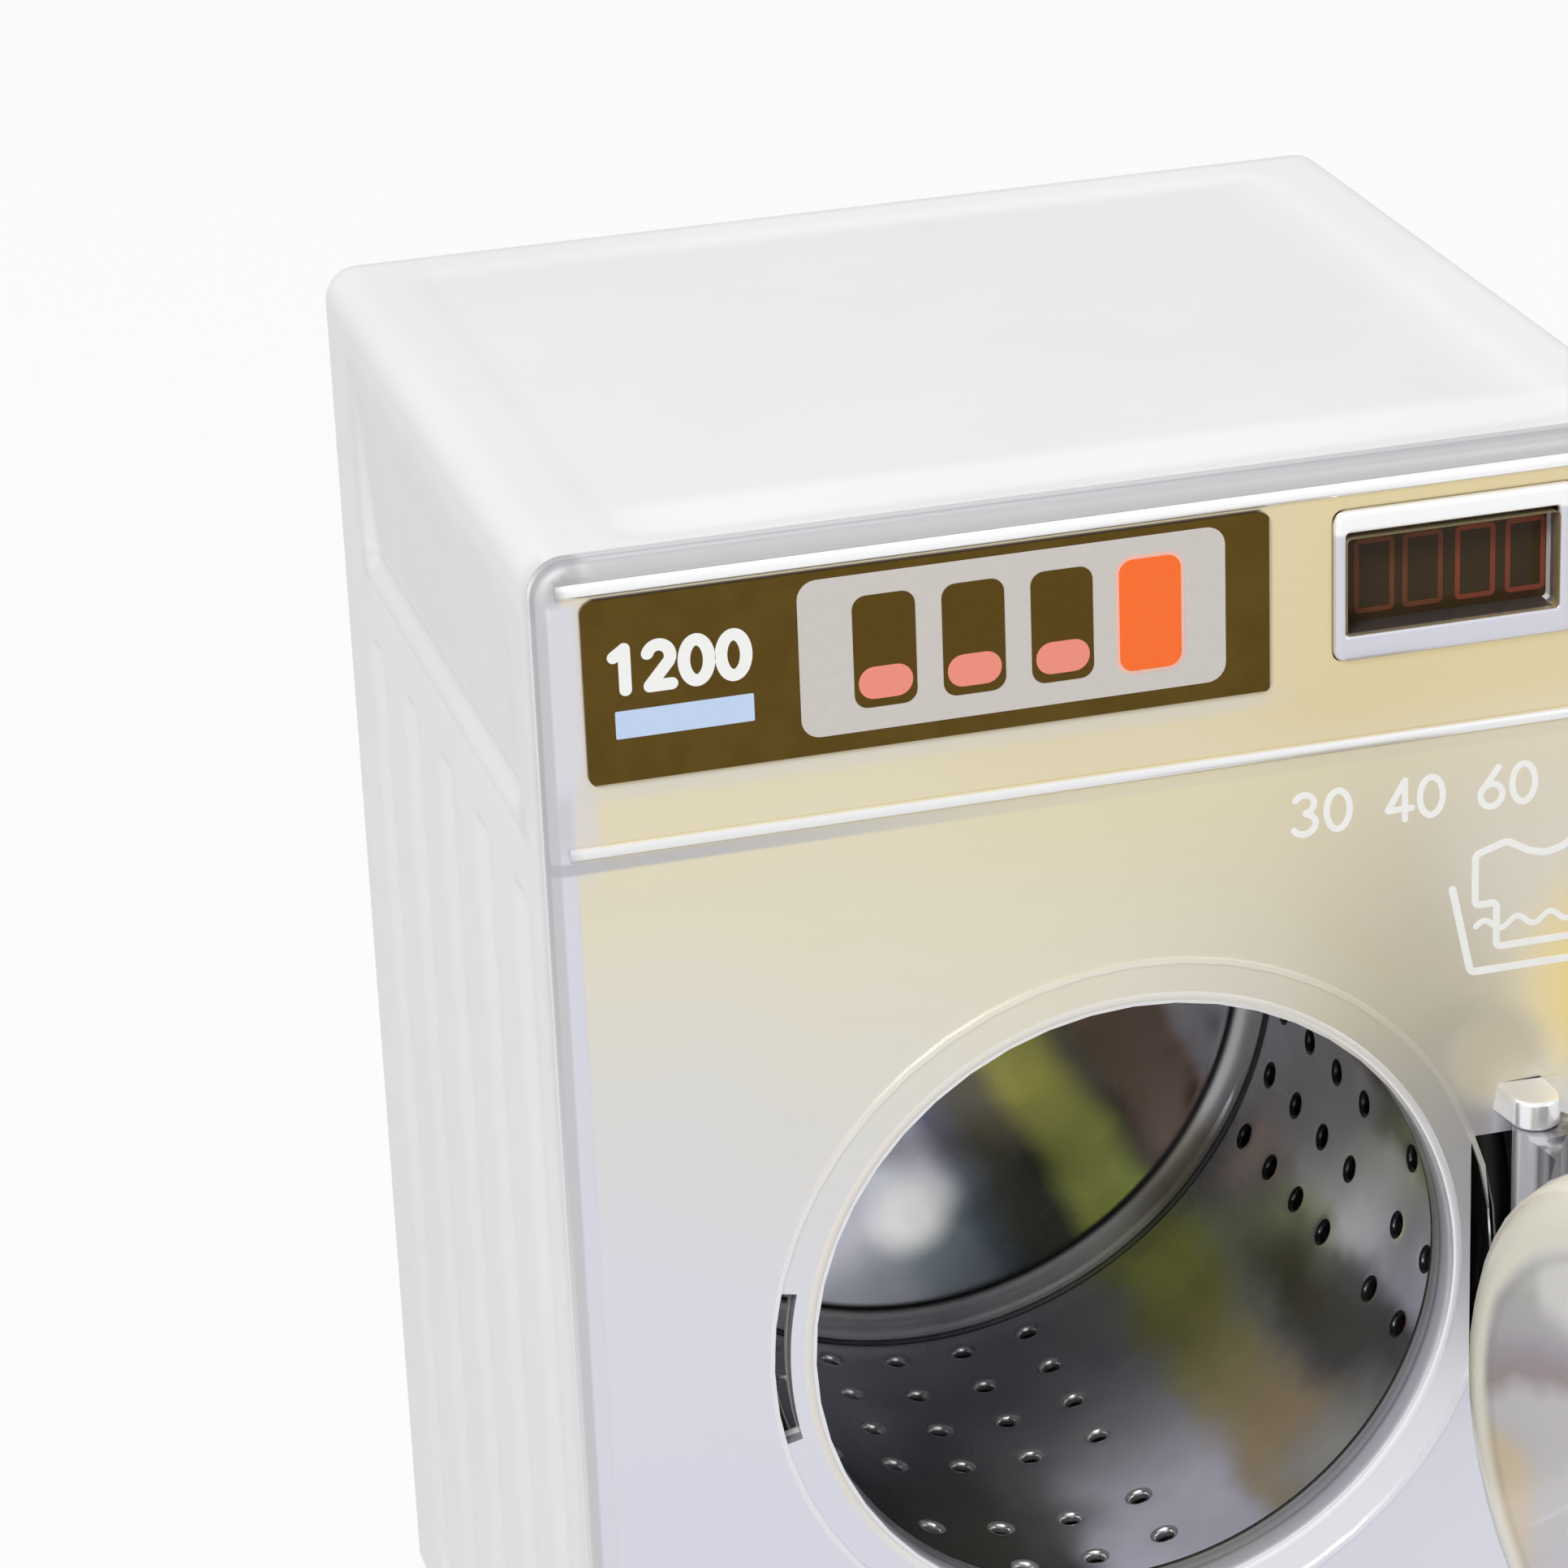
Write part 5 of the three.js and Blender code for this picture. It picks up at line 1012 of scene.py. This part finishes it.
# Drum: a rolled wall with dimpled holes, a mouth ring and a flat back with an axle boss
DRUM_RADIUS = 40.5
DRUM_WALL = 1.0
WALL_START = -39.8
WALL_END = 23.6
HOLE_PITCH = 10.74
HOLE_START = -28.76
HOLE_ROWS = [19.74 - row * 8.08 - (5.46 if row > 3 else 0.0) for row in range(6)]
HOLE_REACH = 4.04
HOLE_RINGS = (
    (2.3, 0.0), (1.5, 0.0), (1.28, 0.06), (1.1, 0.22), (1.0, 0.5), (1.0, DRUM_WALL), (2.3, DRUM_WALL))
HOLE_SIDES = 16
LIP_RINGS = (2, 6)
CELL = 4
PLAIN_CELLS = 12
DRUM_MOUTH = (
    (40.35, -40.25), (39.9, -40.5), (37.5, -40.5), (35.1, -40.5), (34.72, -40.65), (34.6, -41.0),
    (34.72, -41.35), (35.1, -41.5), (38.0, -41.5), (40.9, -41.5), (41.35, -41.32), (41.5, -40.9))
DRUM_BACK = (
    (40.46, 23.72), (40.25, 23.78), (40.02, 23.74), (39.93, 23.9), (39.75, 24.6), (39.35, 25.3),
    (38.8, 25.85), (38.1, 26.2), (37.55, 26.3), (37.4, 26.42), (37.2, 26.5), (36.9, 26.4), (36.0, 26.2),
    (30.0, 26.0), (24.0, 25.85), (18.0, 25.7), (12.0, 25.6), (8.2, 25.5), (7.0, 25.3), (6.4, 24.6),
    (6.2, 23.6), (5.8, 23.1), (5.0, 22.9), (2.5, 22.85))
DRUM_OUTSIDE = (
    (41.5, 24.4), (41.2, 25.9), (40.4, 27.0), (39.0, 27.6), (37.5, 27.75), (30.0, 27.0), (18.0, 26.7),
    (8.0, 26.6), (4.0, 26.6))


def drum_grid():
    """The wall's columns in degrees and rows in Y, and the block and place of each hole."""
    columns = []
    blocks = []
    gap = 90.0 - 5 * HOLE_PITCH
    for patch in range(4):
        start = 90.0 * patch + HOLE_START - HOLE_PITCH / 2
        for hole in range(5):
            blocks.append((len(columns), start + HOLE_PITCH * (hole + 0.5)))
            columns += [start + HOLE_PITCH * (hole + step / CELL) for step in range(CELL)]
        columns += [start + 5 * HOLE_PITCH + gap * step / PLAIN_CELLS for step in range(PLAIN_CELLS)]
    spans = [(HOLE_ROWS[5] - HOLE_REACH, None), (HOLE_ROWS[5] + HOLE_REACH, HOLE_ROWS[5]),
             (HOLE_ROWS[4] + HOLE_REACH, HOLE_ROWS[4]), (HOLE_ROWS[3] - HOLE_REACH, None)]
    spans += [(HOLE_ROWS[row] + HOLE_REACH, HOLE_ROWS[row]) for row in (3, 2, 1)]
    spans.append((WALL_END, HOLE_ROWS[0]))
    rows = [WALL_START]
    holes = []
    for end, middle in spans:
        start = rows[-1]
        if middle is not None:
            holes += [(column, len(rows) - 1, angle, middle) for column, angle in blocks]
        rows += [start + (end - start) * step / CELL for step in range(1, CELL + 1)]
    return columns, rows, holes


def make_drum():
    columns, rows, holes = drum_grid()
    degree = math.pi * DRUM_RADIUS / 180.0
    wide = len(columns)
    points = []
    faces = []
    lips = set()

    def place(angle, y, radius):
        turn = math.radians(angle)
        points.append((radius * math.cos(turn), y, AXIS_Z + radius * math.sin(turn)))
        return len(points) - 1

    def loops_from(start, profile):
        return [start] + [[place(angle, y, radius) for angle in columns] for radius, y in profile]

    inner, outer = [[[place(angle, y, radius) for y in rows] for angle in columns]
                    for radius in (DRUM_RADIUS, DRUM_RADIUS + DRUM_WALL)]
    cells = [(i, j) for i in range(CELL) for j in range(CELL)]
    taken = {((column + i) % wide, row + j) for column, row, _, _ in holes for i, j in cells}
    for grid in (inner, outer):
        for column in range(wide):
            here, there = grid[column], grid[(column + 1) % wide]
            for row in range(len(rows) - 1):
                if (column, row) not in taken:
                    faces.append((here[row], there[row], there[row + 1], here[row + 1]))
    around = ([(i, 0) for i in range(CELL)] + [(CELL, j) for j in range(CELL)]
              + [(CELL - i, CELL) for i in range(CELL)] + [(0, CELL - j) for j in range(CELL)])
    turns = [math.radians(225.0 + 360.0 * step / HOLE_SIDES) for step in range(HOLE_SIDES)]
    for column, row, angle, y in holes:
        loops = [[inner[(column + i) % wide][row + j] for i, j in around]]
        for r, sink in HOLE_RINGS:
            loops.append([place(angle + r * math.cos(t) / degree, y + r * math.sin(t), DRUM_RADIUS + sink)
                          for t in turns])
        loops.append([outer[(column + i) % wide][row + j] for i, j in around])
        lips.update(range(len(faces) + LIP_RINGS[0] * HOLE_SIDES, len(faces) + LIP_RINGS[1] * HOLE_SIDES))
        faces += bridged(loops)
    faces += bridged(loops_from([line[0] for line in inner], DRUM_MOUTH) + [[line[0] for line in outer]])
    for grid, profile in ((inner, DRUM_BACK), (outer, DRUM_OUTSIDE)):
        loops = loops_from([line[-1] for line in grid], profile)
        faces += bridged(loops) + [tuple(loops[-1])]
    mesh = mesh_from("drum_look", points, faces)
    piece = new_piece("drum_look", mesh, "drum_dark", "drum")
    mesh.materials.append(MATERIALS["drum_lip"])
    mesh.polygons.foreach_set("material_index", [int(index in lips) for index in range(len(faces))])
    set_outward(mesh)
    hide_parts("drum")
    shade_round(mesh, 62.0)


make_drum()
turned("drum_hub", [(6.0, 26.4), (6.0, 28.6), (2.8, 28.6), (2.8, 26.4)], 48, 40.0, "drum_dark", "drum")


def screw_mesh():
    """A pan head with a crossed recess and a plain shank, head at the origin and pointing along +Z."""
    profile = [(0.0, 0.0), (1.3, 0.02), (1.75, 0.15), (2.0, 0.45),
               (2.0, 1.3), (0.9, 1.3), (0.9, 7.3), (0.0, 7.3)]
    points, faces = spun(profile, 28)
    head = bpy.data.meshes.new("screw_head")
    head.from_pydata(points, [], faces)
    set_outward(head, WELD / MM)
    bm = bmesh.new()
    for turn in (0.0, math.pi / 2):
        made = bmesh.ops.create_cube(bm, size=1.0)["verts"]
        bmesh.ops.scale(bm, vec=(2.7, 0.6, 1.4), verts=made)
        bmesh.ops.rotate(bm, cent=(0, 0, 0), matrix=Matrix.Rotation(turn, 3, "Z"), verts=made)
    cutter = bpy.data.meshes.new("screw_recess")
    bm.to_mesh(cutter)
    bm.free()
    holder = linked("screw_head", head)
    tool = linked("screw_recess", cutter)
    recess = holder.modifiers.new("recess", "BOOLEAN")
    recess.object = tool
    recess.operation = "DIFFERENCE"
    recess.use_self = True
    mesh = bpy.data.meshes.new_from_object(holder.evaluated_get(bpy.context.evaluated_depsgraph_get()))
    for item in (holder, tool):
        bpy.data.objects.remove(item)
    mesh.transform(Matrix.Scale(MM, 4))
    shade_round(mesh, 35.0)
    return mesh


SCREW = screw_mesh()


def screw_look(node, at_back=True):
    """A screw in the place of its node, with its head at the back or at the bottom."""
    low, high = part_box(node)
    place = (low + high) / 2
    turn = Matrix.Identity(4)
    if at_back:
        place.y = high.y
        turn = Matrix.Rotation(math.pi / 2, 4, "X")
    else:
        place.z = low.z
    mesh = SCREW.copy()
    mesh.transform(Matrix.Translation(place) @ turn)
    piece = new_piece(node + "_look", mesh, SLOTS[node], NODES[node]["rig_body"])
    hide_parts(node)


for index in range(1, 5):
    screw_look(f"rear_screw_{index}")
    screw_look(f"base_screw_{index}", at_back=False)
screw_look("battery_cover_screw")


# Stage
def white_when_seen(owner, kind, lit, seen, share):
    """One shader for the light, and a bright one for the camera, reflections and clear parts."""
    owner.use_nodes = True
    tree = owner.node_tree
    tree.nodes.clear()
    path = add_node(tree, "LightPath").outputs
    rays = ("Is Camera Ray", "Is Glossy Ray", "Is Transmission Ray")
    looked_at = either([Wire(path[ray]) for ray in rays])
    shaders = [wired(tree, *shader) for shader in (lit, seen)]
    mixed = wired(tree, "MixShader", enumerate((looked_at * share, *shaders)))
    add_node(tree, "Output" + kind, [("Surface", mixed)])


WHITE = ("Color", (1.0, 1.0, 1.0, 1.0))
PAPER_GREY = ("Color", (0.72, 0.72, 0.72, 1.0))
SKY_LIGHT = 0.41
PAPER_GLOW = 0.93
FLOOR_REACH = 6000
LENS = 123.53
SENSOR_WIDTH = 36.0
AIM = Vector((0.0, 0.0, 0.08))

corners = [(x * FLOOR_REACH, y * FLOOR_REACH, 0) for x, y in ((-1, -1), (1, -1), (1, 1), (-1, 1))]
floor = linked("floor", mesh_from("floor", corners, [(0, 1, 2, 3)]))
paper = bpy.data.materials.new("floor_paper")
white_when_seen(paper, "Material", ("BsdfDiffuse", [PAPER_GREY]), ("Emission",), PAPER_GLOW)
floor.data.materials.append(paper)

world = bpy.data.worlds.new("studio")
bpy.context.scene.world = world
white_when_seen(world, "World", ("Background", [WHITE, ("Strength", SKY_LIGHT)]),
                ("Background", [WHITE, ("Strength", 1.0)]), 1.0)

LAMPS = (("key", (-0.6, -0.8, 1.0), 0.4, 10.8), ("fill", (0.75, -0.7, 0.5), 0.7, 1.0),
         ("top", (0.0, 0.25, 1.1), 0.7, 1.1))
for name, place, size, power in LAMPS:
    light = bpy.data.lights.new(name, "AREA")
    light.size = size
    light.energy = power
    lamp = linked(name, light)
    lamp.location = place
    lamp.rotation_euler = (AIM - Vector(place)).to_track_quat("-Z", "Y").to_euler()

camera_data = bpy.data.cameras.new("camera")
camera_data.lens = LENS
camera_data.sensor_width = SENSOR_WIDTH
camera = linked("camera", camera_data)
right = Vector((0.96286, -0.26717, -0.03909))
up = Vector((0.13788, 0.362, 0.92193))
forward = Vector((0.23216, 0.89307, -0.38539))
place = Vector((-0.14561, -0.48214, 0.31845))
camera.matrix_world = Matrix.Translation(place) @ Matrix((right, up, -forward)).transposed().to_4x4()
bpy.context.scene.camera = camera
bpy.context.scene.view_settings.view_transform = "Standard"

bpy.context.view_layer.update()
